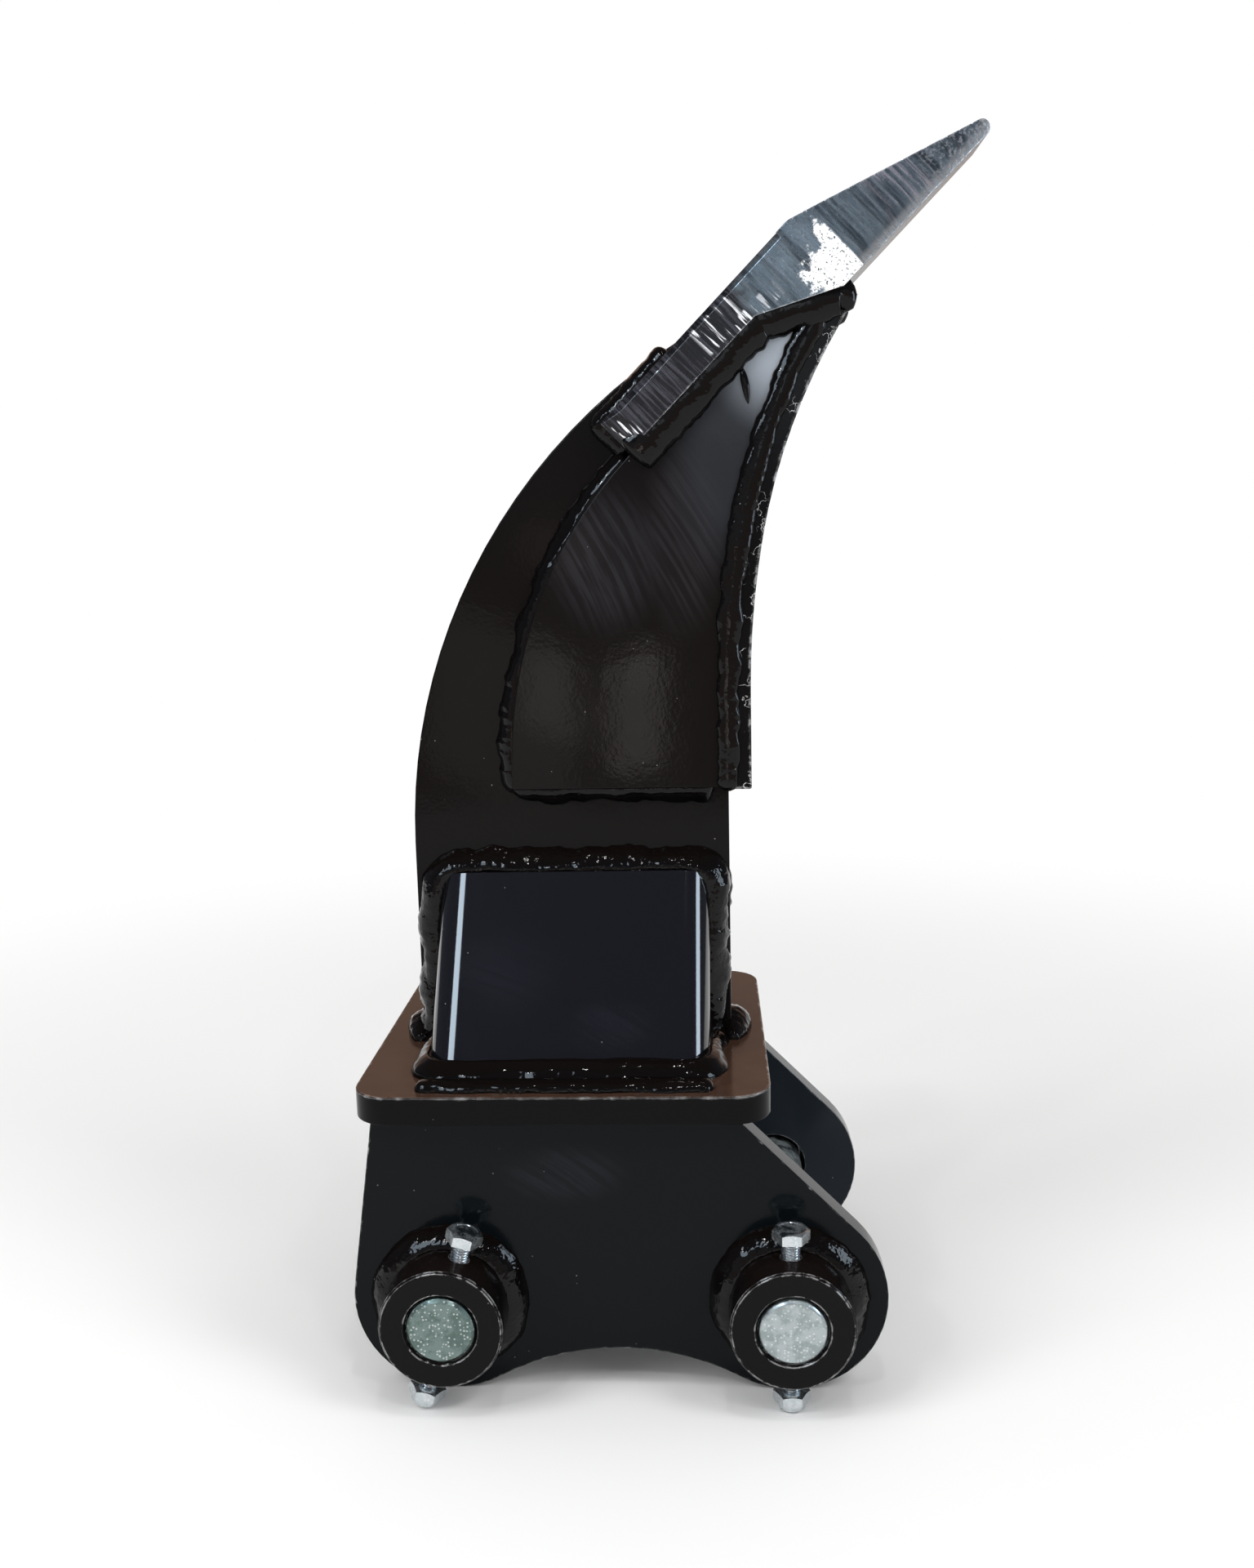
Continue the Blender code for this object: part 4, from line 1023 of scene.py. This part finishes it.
@dataclass
class Fasteners:
    """The two bolts through the bosses and their locking nuts."""

    bolt_radius: float = 0.0050
    pitch: float = 0.0015
    thread_depth: float = 0.55
    thread_flank: float = 1.15
    thread_rows: int = 8
    thread_start: float = 0.0003
    flats: float = 0.017
    flat_top: float = 0.95
    washer: float = 0.93
    head_low: float = 0.04125
    head_height: float = 0.0064
    bolt_low: float = -0.0500
    nut_low: float = -0.0515
    nut_height: float = 0.0097
    collar_height: float = 0.0034
    collar_radius: float = 0.0075
    bolt_y: float = -0.1065
    pin_height: float = 0.052
    pin_half_spacing: float = 0.090
    leans: Point = (math.radians(15.0), 0.0)
    around: int = 48

    def hex_radius(self, turn: float) -> float:
        """Return the hexagon's radius at an angle."""
        sixth = math.pi / 3
        return self.flats / 2 / math.cos((turn % sixth) - sixth / 2)

    def turned_radius(self) -> float:
        """Return the radius of the flat circle that the chamfer leaves."""
        return self.flats / 2 * self.flat_top

    def chamfer(self, turn: float) -> float:
        """Return how far the chamfer drops at the hexagon's edge, at an angle."""
        return (self.hex_radius(turn) - self.turned_radius()) * CHAMFER_SLOPE

    def ring(self, radius: Callable[[float], float], height: Callable[[float], float]) -> list[Vector]:
        """Return a ring whose radius and height follow the angle."""
        turns = [2 * math.pi * k / self.around for k in range(self.around)]
        return [Vector((radius(t) * math.cos(t), radius(t) * math.sin(t), height(t))) for t in turns]

    def round_ring(self, radius: float, height: float) -> list[Vector]:
        """Return a plain circle."""
        return self.ring(lambda _: radius, lambda _: height)

    def thread(self, low: float, high: float) -> list[list[Vector]]:
        """Make the rings of a threaded rod.

        Args:
            low: The rod's lower end.
            high: Its upper end.

        Returns:
            The rings.
        """
        depth = self.pitch * self.thread_depth
        rows = round((high - low) / self.pitch * self.thread_rows)
        rings = [self.round_ring(self.bolt_radius - depth - self.thread_start, low)]
        for i in range(rows + 1):
            z = low + (high - low) * i / rows

            def radius(turn: float, height: float = z) -> float:
                """Return the thread's radius at an angle."""
                share = (height / self.pitch - turn / (2 * math.pi)) % 1.0
                return self.bolt_radius - depth * min(1.0, abs(2 * share - 1) * self.thread_flank)

            rings.append(self.ring(radius, lambda _, height=z: height))
        return rings

    def chamfered_hex(self, low: float, high: float) -> list[list[Vector]]:
        """Make the rings of a hexagon whose top corners are turned off.

        Args:
            low: The hexagon's underside.
            high: Its top.

        Returns:
            The rings.
        """
        shoulder = self.ring(self.hex_radius, lambda t: high - self.chamfer(t))
        top = self.round_ring(self.turned_radius(), high)
        return [self.ring(self.hex_radius, lambda _: low), shoulder, top]

    def dress(self) -> None:
        """Make both bolts and nuts."""
        look = ZincFinish("fastener_zinc", colour=(0.66, 0.70, 0.72), stain_share=0.25,
                          stain=(0.36, 0.44, 0.47), roughness=0.22, grain=0.000012).build()
        for (hand, place), lean in zip(HANDS, self.leans):
            x = hand * self.pin_half_spacing + SHIFT_X
            axis = Matrix.Translation((x, self.bolt_y, self.pin_height)) @ Matrix.Rotation(lean, 4, "Y")
            bolt = ring_stack(f"bolt_{place}_threaded", self.bolt(), axis)
            place_piece(bolt, Slot.FASTENER, [f"bolt_{place}"], look)
            nut = ring_stack(f"nut_{place}_locking", self.nut(), axis)
            place_piece(nut, Slot.FASTENER, [f"nut_{place}"], look)

    def bolt(self) -> list[list[Vector]]:
        """Make a bolt: a threaded rod, a washer face and a hexagon with a dished top.

        Returns:
            The rings, from the rod's end up.
        """
        low, high = self.head_low, self.head_low + self.head_height
        washer = self.flats / 2 * self.washer
        return [
            *self.thread(self.bolt_low, low),
            self.round_ring(washer, low + 0.0001),
            self.round_ring(washer, low + 0.0005),
            *self.chamfered_hex(low + 0.0005, high),
            self.round_ring(washer * 0.86, high),
            self.round_ring(washer * 0.80, high - 0.0004),
        ]

    def nut(self) -> list[list[Vector]]:
        """Make a locking nut: a hexagon over a domed collar.

        Returns:
            The rings, from the collar's mouth up.
        """
        low, top = self.nut_low, self.nut_low + self.nut_height
        hex_low = low + self.collar_height
        mouth = self.bolt_radius + 0.0002
        collar = (
            (mouth, low + 0.0010),
            (mouth + 0.0006, low + 0.0003),
            (self.collar_radius - 0.0012, low),
            (self.collar_radius - 0.0003, low + 0.0007),
            (self.collar_radius, low + 0.0018),
            (self.collar_radius, hex_low),
            (self.turned_radius(), hex_low),
        )
        return [
            *(self.round_ring(radius, height) for radius, height in collar),
            self.ring(self.hex_radius, lambda t: hex_low + self.chamfer(t)),
            *self.chamfered_hex(top - 0.0040, top)[1:],
            self.round_ring(mouth, top),
        ]


@dataclass
class Upper:
    """The shank with its wear bar, cheeks, forked tooth and their welds."""

    bar_x: float = 0.075
    bar_bend_height: float = 0.3675
    bar_lower_r: float = 0.463
    bar_lower_turn: float = math.radians(10.1)
    bar_upper_r: float = 0.312
    bar_steps: tuple[int, int] = (8, 14)
    bar_weld_inset: float = 0.0122
    bar_weld_top: float = 0.5620
    cheek_foot: float = 0.3145
    cheek_back_x: float = -0.056
    cheek_back_r: float = 0.236
    cheek_steps: int = 20
    cheek_face: float = 0.0243
    shank_face: float = 0.014
    tooth_foot: Point = (0.0126, 0.4933)
    tooth_tilt: float = math.radians(45.0)
    leg_length: float = 0.0934
    leg_height: float = 0.0209
    leg_end_run: float = 0.052
    heel_at: float = 0.1349
    heel_drop: float = 0.0224
    toe: float = 0.001
    shank_arris: float = 0.0009
    plate_arris: float = 0.0010
    tooth_arris: float = 0.0008
    run_of_paint: tuple[Point, ...] = ((0.0440, 0.5350), (0.0458, 0.5260), (0.0472, 0.5165))

    def on_tooth(self, along: float, across: float) -> Point:
        """Return the side view place of a point along and across the tooth."""
        cos, sin = math.cos(self.tooth_tilt), math.sin(self.tooth_tilt)
        return (self.tooth_foot[0] + along * cos - across * sin,
                self.tooth_foot[1] + along * sin + across * cos)

    def bar_line(self, inset: float, stop: float) -> list[Point]:
        """Follow the wear bar's face from its foot up to a height.

        Args:
            inset: The distance from the face.
            stop: The height.

        Returns:
            The line's points.
        """
        lower = (self.bar_x + self.bar_lower_r, self.bar_bend_height)
        shift = self.bar_lower_r - self.bar_upper_r
        upper = (lower[0] - shift * math.cos(self.bar_lower_turn),
                 lower[1] + shift * math.sin(self.bar_lower_turn))
        turn = math.pi - self.bar_lower_turn
        line = [(self.bar_x - inset, self.cheek_foot - 0.002)]
        line += arc(lower, self.bar_lower_r + inset, math.pi, turn, self.bar_steps[0])
        last = math.pi - math.asin(min(1.0, (stop - upper[1]) / (self.bar_upper_r + inset)))
        return line + arc(upper, self.bar_upper_r + inset, turn, last, self.bar_steps[1])[1:]

    def cheek_line(self) -> list[Point]:
        """Follow the cheek's back edge from under the leg, then its foot.

        Returns:
            The line's points.
        """
        foot = self.on_tooth(0.0, 0.0)
        x = self.cheek_back_x + self.cheek_back_r
        across = (x - foot[0]) * math.sin(self.tooth_tilt) - self.cheek_back_r
        centre = (x, foot[1] + across / math.cos(self.tooth_tilt))
        start = math.pi / 2 + self.tooth_tilt + math.radians(0.5)
        under = self.cheek_foot - self.toe
        return arc(centre, self.cheek_back_r, start, math.pi, self.cheek_steps) + [
            (self.cheek_back_x, self.cheek_foot + 0.004),
            (self.cheek_back_x + 0.006, under),
            (self.bar_x - 0.020, under),
        ]

    def dress(self) -> None:
        """Dress the plates and the tooth and lay their welds."""
        shank = PaintFinish("shank_paint", colour=(0.0040, 0.0033, 0.0032), wear_level=0.83,
                            roughness=0.08, peel_waves=2.2).build()
        # Painted reflections on the cheek: soft light patches, brightest at the top, the first two
        # streaked with swirl marks.
        painted_cheek_reflections = (
            Mark((-0.030, -0.0243, 0.438), (0.036, 0.02, 0.046), (0.050, 0.050, 0.060), 0.28,
                 turning=(-0.30, -0.0243, 0.30)),
            Mark((0.012, -0.0243, 0.448), (0.026, 0.02, 0.060), (0.055, 0.052, 0.060), 0.22,
                 turning=(-0.36, -0.0243, 0.22)),
            Mark((0.070, -0.0243, 0.550), (0.050, 0.02, 0.056), (0.28, 0.31, 0.35), 0.95),
            Mark((0.040, -0.0243, 0.487), (0.042, 0.02, 0.066), (0.040, 0.045, 0.054), 0.38),
        )
        cheek = PaintFinish("cheek_paint", colour=(0.0046, 0.0039, 0.0039), marks=painted_cheek_reflections, roughness=0.08,
                            peel_waves=2.2, speck_rarity=0.94, wear_level=0.88).build()
        bar = PaintFinish("wear_bar_paint", wear_reach=0.0024, wear_level=0.60, wear_scale=150.0,
                          bare_colour=(0.62, 0.62, 0.61), loop_width=0.016, speck_rarity=0.85).build()
        foot = (self.tooth_foot[0] + SHIFT_X, self.tooth_foot[1])
        tooth = ToothFinish("tooth_ground_steel", foot, self.tooth_tilt).build()
        dress_solid("shank", self.shank_arris, shank)
        dress_solid("wear_bar", self.plate_arris, bar)
        dress_solid("cheek_front", self.plate_arris, cheek)
        dress_solid("cheek_rear", self.plate_arris, cheek)
        dress_solid("tooth", self.tooth_arris, tooth, Slot.TOOTH)
        rough, smooth = WELD_PAINT.build(), SMOOTH_WELD_PAINT.build()
        for sign, side in SIDES:
            self.welds(sign, side, rough, smooth)
            if side == "front":
                self.paint_run(smooth)

    def leg_thickness(self, share: float) -> float:
        """Return the leg weld's thickness: it thins where it wraps over the wear bar."""
        end = min(1.0, share / 0.03, (1 - share) / 0.22)
        return math.sqrt(max(0.02, 1 - (1 - end) ** 2))

    def run_thickness(self, share: float) -> float:
        """Return the thickness of the run of paint: a neck, a belly and a point."""
        return 0.06 + 0.94 * math.sin(math.pi * share ** 0.8) ** 0.7

    def welds(self, sign: int, side: str, rough: Look, smooth: Look) -> None:
        """Lay the beads on one side of the shank.

        Args:
            sign: The way that the side faces.
            side: The side's name.
            rough: The material of a rough bead.
            smooth: The material of a smooth bead.
        """
        out = Vector((0, sign, 0))
        on_cheek, on_shank = sign * self.cheek_face, sign * self.shank_face
        bar = side_points(self.bar_line(self.bar_weld_inset, self.bar_weld_top), on_cheek)
        bead = Bead(0.0064, 0.0034, seed=11.0 + sign, ragged=0.26)
        lay_weld(f"bar_weld_{side}", bar, out, bead, smooth)
        heel = self.on_tooth(self.heel_at - 0.002, -self.heel_drop - self.toe)
        leg = [self.on_tooth(-self.toe, -self.toe), self.on_tooth(self.leg_length, -self.toe), heel,
               (heel[0] + 0.0045, heel[1] - 0.0090)]
        bead = Bead(0.0125, 0.0070, seed=21.0 + sign, ragged=0.20, lumps=0.07, ripple=0.006)
        lay_weld(f"leg_weld_{side}", side_points(leg, on_cheek), out, bead, smooth, self.leg_thickness)
        bead = Bead(0.0078, 0.0074, seed=31.0 + sign, ragged=0.34, belly=1.6)
        lay_weld(f"cheek_weld_{side}", side_points(self.cheek_line(), on_shank), out, bead, smooth)
        top = [self.on_tooth(0.0, 0.0), self.on_tooth(0.0, self.leg_height),
               self.on_tooth(self.leg_end_run, self.leg_height + self.toe)]
        bead = Bead(0.0068, 0.0080, seed=41.0 + sign, lumps=0.16)
        lay_weld(f"leg_end_weld_{side}", side_points(top, on_shank), out, bead, rough)

    def paint_run(self, look: Look) -> None:
        """Make the run of paint that hangs under the leg's weld, on the front.

        Args:
            look: Its material.
        """
        route = [Vector((x, -self.cheek_face, z)) for x, z in self.run_of_paint]
        bead = Bead(0.0021, 0.0017, ripple=0.0, lumps=0.03, ragged=0.0, step=0.0005, around=16)
        run = swept_bead("paint_run", route, Vector((0, -1, 0)), bead, self.run_thickness)
        place_piece(run, Slot.WELD, [], look)


@dataclass
class Foot:
    """The gussets and the welds round the shank's foot."""

    plate_top: float = 0.171
    centre_x: float = -0.0255
    width: float = 0.151
    top_width: float = 0.1495
    top_shift: float = 0.0027
    depth: float = 0.065
    height: float = 0.099
    shank_face: float = 0.014
    shank_overlap: float = 0.024
    corner: float = 0.016
    corner_steps: int = 8
    arris: float = 0.0008
    toe_out: float = 0.0165
    toe_past: float = 0.002
    shank_ends: Point = (-0.113, 0.063)

    def rounded(self, corners: Sequence[Point]) -> list[Point]:
        """Round the inner corners of a path.

        Args:
            corners: The path's points.

        Returns:
            The rounded path.
        """
        path = [corners[0]]
        for before, corner, after in zip(corners, corners[1:], corners[2:]):
            at, first, last = Vector(corner), Vector(before), Vector(after)
            first = at + (first - at).normalized() * self.corner
            last = at + (last - at).normalized() * self.corner
            for i in range(self.corner_steps + 1):
                share = i / self.corner_steps
                point = first.lerp(at, share).lerp(at.lerp(last, share), share)
                path.append((point.x, point.y))
        return path + [corners[-1]]

    def end_thickness(self, share: float) -> float:
        """Return the thickness of the bead at an end of the shank: fullest in its middle."""
        return 0.32 + 0.68 * math.sin(math.pi * share)

    def dress(self) -> None:
        """Dress the gussets and lay their beads."""
        scuff = Mark((-0.085, -0.070, 0.225), (0.040, 0.04, 0.030), (0.016, 0.018, 0.026), 0.22,
                     turning=(-0.20, -0.07, -0.10))
        scuffs = (scuff, replace(scuff, centre=(-0.030, -0.075, 0.195), reach=(0.030, 0.04, 0.016)))
        gusset = PaintFinish("gusset_paint", colour=(0.0036, 0.0038, 0.0052), roughness=0.10,
                             specular=0.5, coat=0.6, dust_and_sheen_share=0.0, marks=scuffs,
                             peel_height=0.000012, wear_level=1.2).build()
        rough, smooth = WELD_PAINT.build(), SMOOTH_WELD_PAINT.build()
        for sign, side in SIDES:
            dress_solid(f"gusset_{side}", self.arris, gusset)
            self.gusset_welds(sign, side, rough, smooth)
        half = self.shank_overlap
        for x, (_, place) in zip(self.shank_ends, HANDS):
            route = plan_points([(x, -half), (x, 0.0), (x, half)], self.plate_top)
            bead = Bead(0.0120, 0.0120, seed=81.0 + x)
            lay_weld(f"foot_weld_{place}", route, UP, bead, rough, self.end_thickness)

    def gusset_welds(self, sign: int, side: str, rough: Look, smooth: Look) -> None:
        """Lay the beads round one gusset.

        Args:
            sign: The way that the gusset faces.
            side: The side's name.
            rough: The material of a rough bead.
            smooth: The material of a smooth bead.
        """
        left, right = self.centre_x - self.width / 2, self.centre_x + self.width / 2
        face, front = sign * self.shank_face, sign * (self.shank_face + self.depth)
        base = self.rounded([(left, face), (left, front), (right, front), (right, face)])
        bead = Bead(0.0098, 0.0092, seed=51.0 + sign, lumps=0.05, ripple=0.004, ridges=0.16, belly=1.5)
        lay_weld(f"gusset_base_weld_{side}", plan_points(base, self.plate_top), UP, bead, smooth)
        middle, half_top = self.centre_x + self.top_shift, self.top_width / 2
        top = self.plate_top + self.height
        sides = self.rounded([
            (left - 0.002, self.plate_top), (middle - half_top - 0.003, top),
            (middle + half_top + 0.001, top), (right, self.plate_top)])
        bead = Bead(0.0110, 0.0125, seed=61.0 + sign, ragged=0.24, ridges=0.06, belly=1.6)
        route = side_points(sides, face)
        lay_weld(f"gusset_side_weld_{side}", route, Vector((0, sign, 0)), bead, rough)
        toe = [(x, front + sign * self.toe_out) for x in (left - self.toe_past, right + self.toe_past)]
        bead = Bead(0.0069, 0.0049, seed=71.0 + sign, ragged=0.2, lumps=0.06, ridges=0.14)
        lay_weld(f"gusset_toe_weld_{side}", plan_points(toe, self.plate_top), UP, bead, smooth)


# Studio

@dataclass(frozen=True)
class Window:
    """A soft bright patch on the studio's wall, in metres across and up."""

    centre: Point
    half: Point
    soft: float
    colour: Colour
    strength: float
    slant: float = 0.0

    def inside(self, graph: Graph, x: Socket, z: Socket) -> Socket:
        """Mask the patch.

        Args:
            graph: The wall's graph.
            x: The place across.
            z: The place up.

        Returns:
            The mask.
        """
        level = graph.plus(graph.times(graph.minus(x, self.centre[0]), self.slant), self.centre[1])
        beside = graph.step(graph.away(x, self.centre[0]), self.half[0] + self.soft, self.half[0])
        above = graph.step(graph.away(z, level), self.half[1] + self.soft, self.half[1])
        return graph.times(beside, above)

    def glow(self) -> Colour:
        """Return the patch's light."""
        return tuple(part * self.strength for part in self.colour)


@dataclass(frozen=True)
class Lamp:
    """A rectangular lamp that looks at a point. A sharp one also shows in reflections."""

    name: str
    place: Place
    size: Point
    power: float
    aim: Place = (0.0, 0.0, 0.30)
    sharp: bool = False

    def build(self) -> None:
        """Add the lamp to the scene."""
        data = bpy.data.lights.new(self.name, "AREA")
        data.shape = "RECTANGLE"
        data.size, data.size_y = self.size
        data.energy = self.power
        item = bpy.data.objects.new(self.name, data)
        bpy.context.scene.collection.objects.link(item)
        item.location = self.place
        item.rotation_mode = "QUATERNION"
        item.rotation_quaternion = (Vector(self.place) - Vector(self.aim)).to_track_quat("Z", "Y")
        item.visible_camera = False
        item.visible_glossy = self.sharp


SPARK = Lamp("spark_left", (-0.75, -1.0, 1.40), (0.07, 0.07), 2.2, sharp=True)


@dataclass
class Studio:
    """Floor, reflected wall, lamps, sky and camera."""

    floor_radius: float = 6.0
    floor_sides: int = 64
    floor_colour: Colour = (0.74, 0.74, 0.74)
    floor_roughness: float = 0.55
    floor_fade: Point = (0.25, 1.3)
    wall_y: float = -1.7
    wall_half: float = 3.4
    wall_top: float = 3.0
    wall_low: Colour = (0.42, 0.33, 0.29)
    wall_middle: Colour = (0.42, 0.46, 0.52)
    wall_high: Colour = (0.10, 0.105, 0.14)
    windows: tuple[Window, ...] = (
        Window((-0.234, 0.195), (0.035, 0.065), 0.022, (1.0, 0.96, 0.92), 1.4, -0.5),
        Window((-0.092, 0.150), (0.036, 0.085), 0.022, (1.0, 0.96, 0.92), 2.6),
        Window((-0.068, 0.245), (0.016, 0.024), 0.012, (1.0, 0.96, 0.92), 1.8),
        Window((-0.330, 0.160), (0.125, 0.150), 0.012, (0.96, 1.0, 0.96), 0.80, -0.45),
        Window((-0.210, 0.440), (0.060, 0.035), 0.012, (1.0, 0.80, 0.68), 0.6),
        Window((0.170, 0.760), (0.110, 0.110), 0.080, (0.85, 0.93, 1.0), 1.2),
        Window((-1.25, 1.75), (0.46, 0.45), 0.16, (0.72, 0.86, 1.0), 10.0),
    )
    card_corners: tuple[Place, ...] = (
        (1.0, -0.42, 0.28), (1.0, -0.12, 0.28), (1.0, -0.12, 0.74), (1.0, -0.42, 0.74))
    card_colour: Colour = (0.72, 0.86, 1.0)
    card_strength: float = 9.0
    room_front: Colour = (0.10, 0.11, 0.14)
    room_behind: Colour = (0.60, 0.41, 0.32)
    room_above: Colour = (0.05, 0.055, 0.07)
    room_light: Colour = (0.50, 0.50, 0.50)
    lamps: tuple[Lamp, ...] = (
        Lamp("strip_left", (-1.35, -0.85, 1.25), (0.60, 1.9), 24.0),
        Lamp("strip_right", (1.35, -0.85, 1.25), (0.60, 1.9), 22.0),
        Lamp("panel_above", (-0.25, 0.25, 2.2), (1.6, 1.6), 8.0, aim=(0.0, 0.0, 0.0)),
        SPARK,
        replace(SPARK, name="spark_right", place=(0.55, -1.2, 1.55)),
        replace(SPARK, name="spark_above", place=(0.10, -0.55, 1.80)),
    )
    camera_place: Place = (0.020225, -0.7998, 0.4487)
    camera_axes: tuple[Place, Place, Place] = (
        (0.9985, 0.0486, -0.0235), (0.0150, 0.1679, 0.9857), (0.0518, -0.9846, 0.1669))
    lens: float = 33.18
    sensor_width: float = 36.0

    def build(self) -> None:
        """Make the whole studio."""
        self.floor()
        self.wall()
        self.card()
        self.sky()
        for lamp in self.lamps:
            lamp.build()
        self.camera()
        bpy.context.scene.view_settings.view_transform = "Standard"

    def sheet(self, name: str, corners: Sequence[Place]) -> Piece:
        """Make a flat sheet of the stage.

        Args:
            name: The sheet's name.
            corners: Its corners.

        Returns:
            The sheet.
        """
        mesh = bpy.data.meshes.new(name)
        mesh.from_pydata([Vector(corner) for corner in corners], [], [tuple(range(len(corners)))])
        sheet = link_mesh(name, mesh)
        return sheet

    def floor(self) -> None:
        """Make the pale floor, which fades to white far away."""
        rim = arc((0.0, 0.0), self.floor_radius, 0.0, 2 * math.pi, self.floor_sides)[:-1]
        sheet = self.sheet("studio_floor", [(x, y, 0.0) for x, y in rim])
        material, graph, shader, place = new_material("pale_floor")
        graph.fill(shader, {
            "Base Color": self.floor_colour,
            "Roughness": self.floor_roughness,
            "Specular IOR Level": 0.0,
        })
        path = graph.add("ShaderNodeLightPath").outputs
        seen = graph.most(path["Is Camera Ray"], path["Is Transmission Ray"])
        seen = graph.most(seen, path["Is Glossy Ray"])
        white = graph.add("ShaderNodeEmission", {"Color": WHITE, "Strength": 1.0})
        far = graph.times(graph.step(graph.length(place), *self.floor_fade), seen)
        whole = graph.add("ShaderNodeMixShader", {0: far, 1: shader.outputs[0], 2: white.outputs[0]})
        graph.feed(material.node_tree.nodes["Material Output"].inputs["Surface"], whole.outputs[0])
        sheet.data.materials.append(material)

    def glowing(self, sheet: Piece) -> tuple[Graph, Socket, Socket]:
        """Make a sheet shine in reflections, where alone it shows.

        Args:
            sheet: The sheet.

        Returns:
            Its material's graph, its object coordinates and the socket of its light.
        """
        sheet.visible_camera = False
        sheet.visible_diffuse = False
        sheet.visible_shadow = False
        material, graph, _, place = new_material(sheet.name)
        glow = graph.add("ShaderNodeEmission", {"Strength": 1.0})
        graph.feed(material.node_tree.nodes["Material Output"].inputs["Surface"], glow.outputs[0])
        sheet.data.materials.append(material)
        return graph, place, glow.inputs["Color"]

    def wall(self) -> None:
        """Make the dim wall behind the camera, with its bright patches."""
        y, half, top = self.wall_y, self.wall_half, self.wall_top
        corners = [(-half, y, 0.0), (half, y, 0.0), (half, y, top), (-half, y, top)]
        graph, place, light = self.glowing(self.sheet("studio_wall", corners))
        x, _, z = graph.split(place)
        colour = graph.blend(graph.step(z, 0.25, 0.80), self.wall_low, self.wall_middle)
        colour = graph.blend(graph.step(z, 0.75, 1.15), colour, self.wall_high)
        for window in self.windows:
            colour = graph.blend(window.inside(graph, x, z), colour, window.glow(), kind="ADD")
        graph.feed(light, colour)

    def card(self) -> None:
        """Make the small bright card that draws the line down the gussets' right bends."""
        graph, _, light = self.glowing(self.sheet("studio_card", self.card_corners))
        graph.feed(light, self.card_colour)
        light.node.inputs["Strength"].default_value = self.card_strength

    def sky(self) -> None:
        """Light the scene softly, with a white ground for the camera's view."""
        world = bpy.data.worlds.new("studio_sky")
        bpy.context.scene.world = world
        world.use_nodes = True
        graph = Graph(world.node_tree)
        path = graph.add("ShaderNodeLightPath").outputs
        _, y, z = graph.split(graph.add("ShaderNodeTexCoord").outputs["Generated"])
        behind = graph.step(y, 0.55, 0.82)
        ground = graph.times(graph.times(behind, graph.step(z, 0.16, 0.05)), path["Is Glossy Ray"])
        room = graph.blend(behind, self.room_front, self.room_behind)
        room = graph.blend(graph.step(z, 0.45, 0.80), room, self.room_above)
        room = graph.blend(path["Is Diffuse Ray"], room, self.room_light)
        seen = graph.most(path["Is Camera Ray"], path["Is Transmission Ray"])
        colour = graph.blend(graph.most(seen, ground), room, WHITE)
        graph.feed(world.node_tree.nodes["Background"].inputs["Color"], colour)

    def camera(self) -> None:
        """Set the camera at the photograph's viewing angle."""
        data = bpy.data.cameras.new("photo_camera")
        data.lens = self.lens
        data.sensor_width = self.sensor_width
        data.clip_start = 0.01
        camera = bpy.data.objects.new("photo_camera", data)
        bpy.context.scene.collection.objects.link(camera)
        camera.rotation_mode = "QUATERNION"
        turn = Matrix([Vector(axis) for axis in self.camera_axes]).transposed()
        camera.rotation_quaternion = turn.to_quaternion()
        camera.location = self.camera_place
        bpy.context.scene.camera = camera


def main() -> None:
    """Dress every sub-assembly and set up the studio."""
    logging.basicConfig(level=logging.INFO, format="%(name)s: %(message)s")
    for assembly in (Hitch(), Fasteners(), Upper(), Foot()):
        assembly.dress()
    Studio().build()


if __name__ == "__main__":
    main()
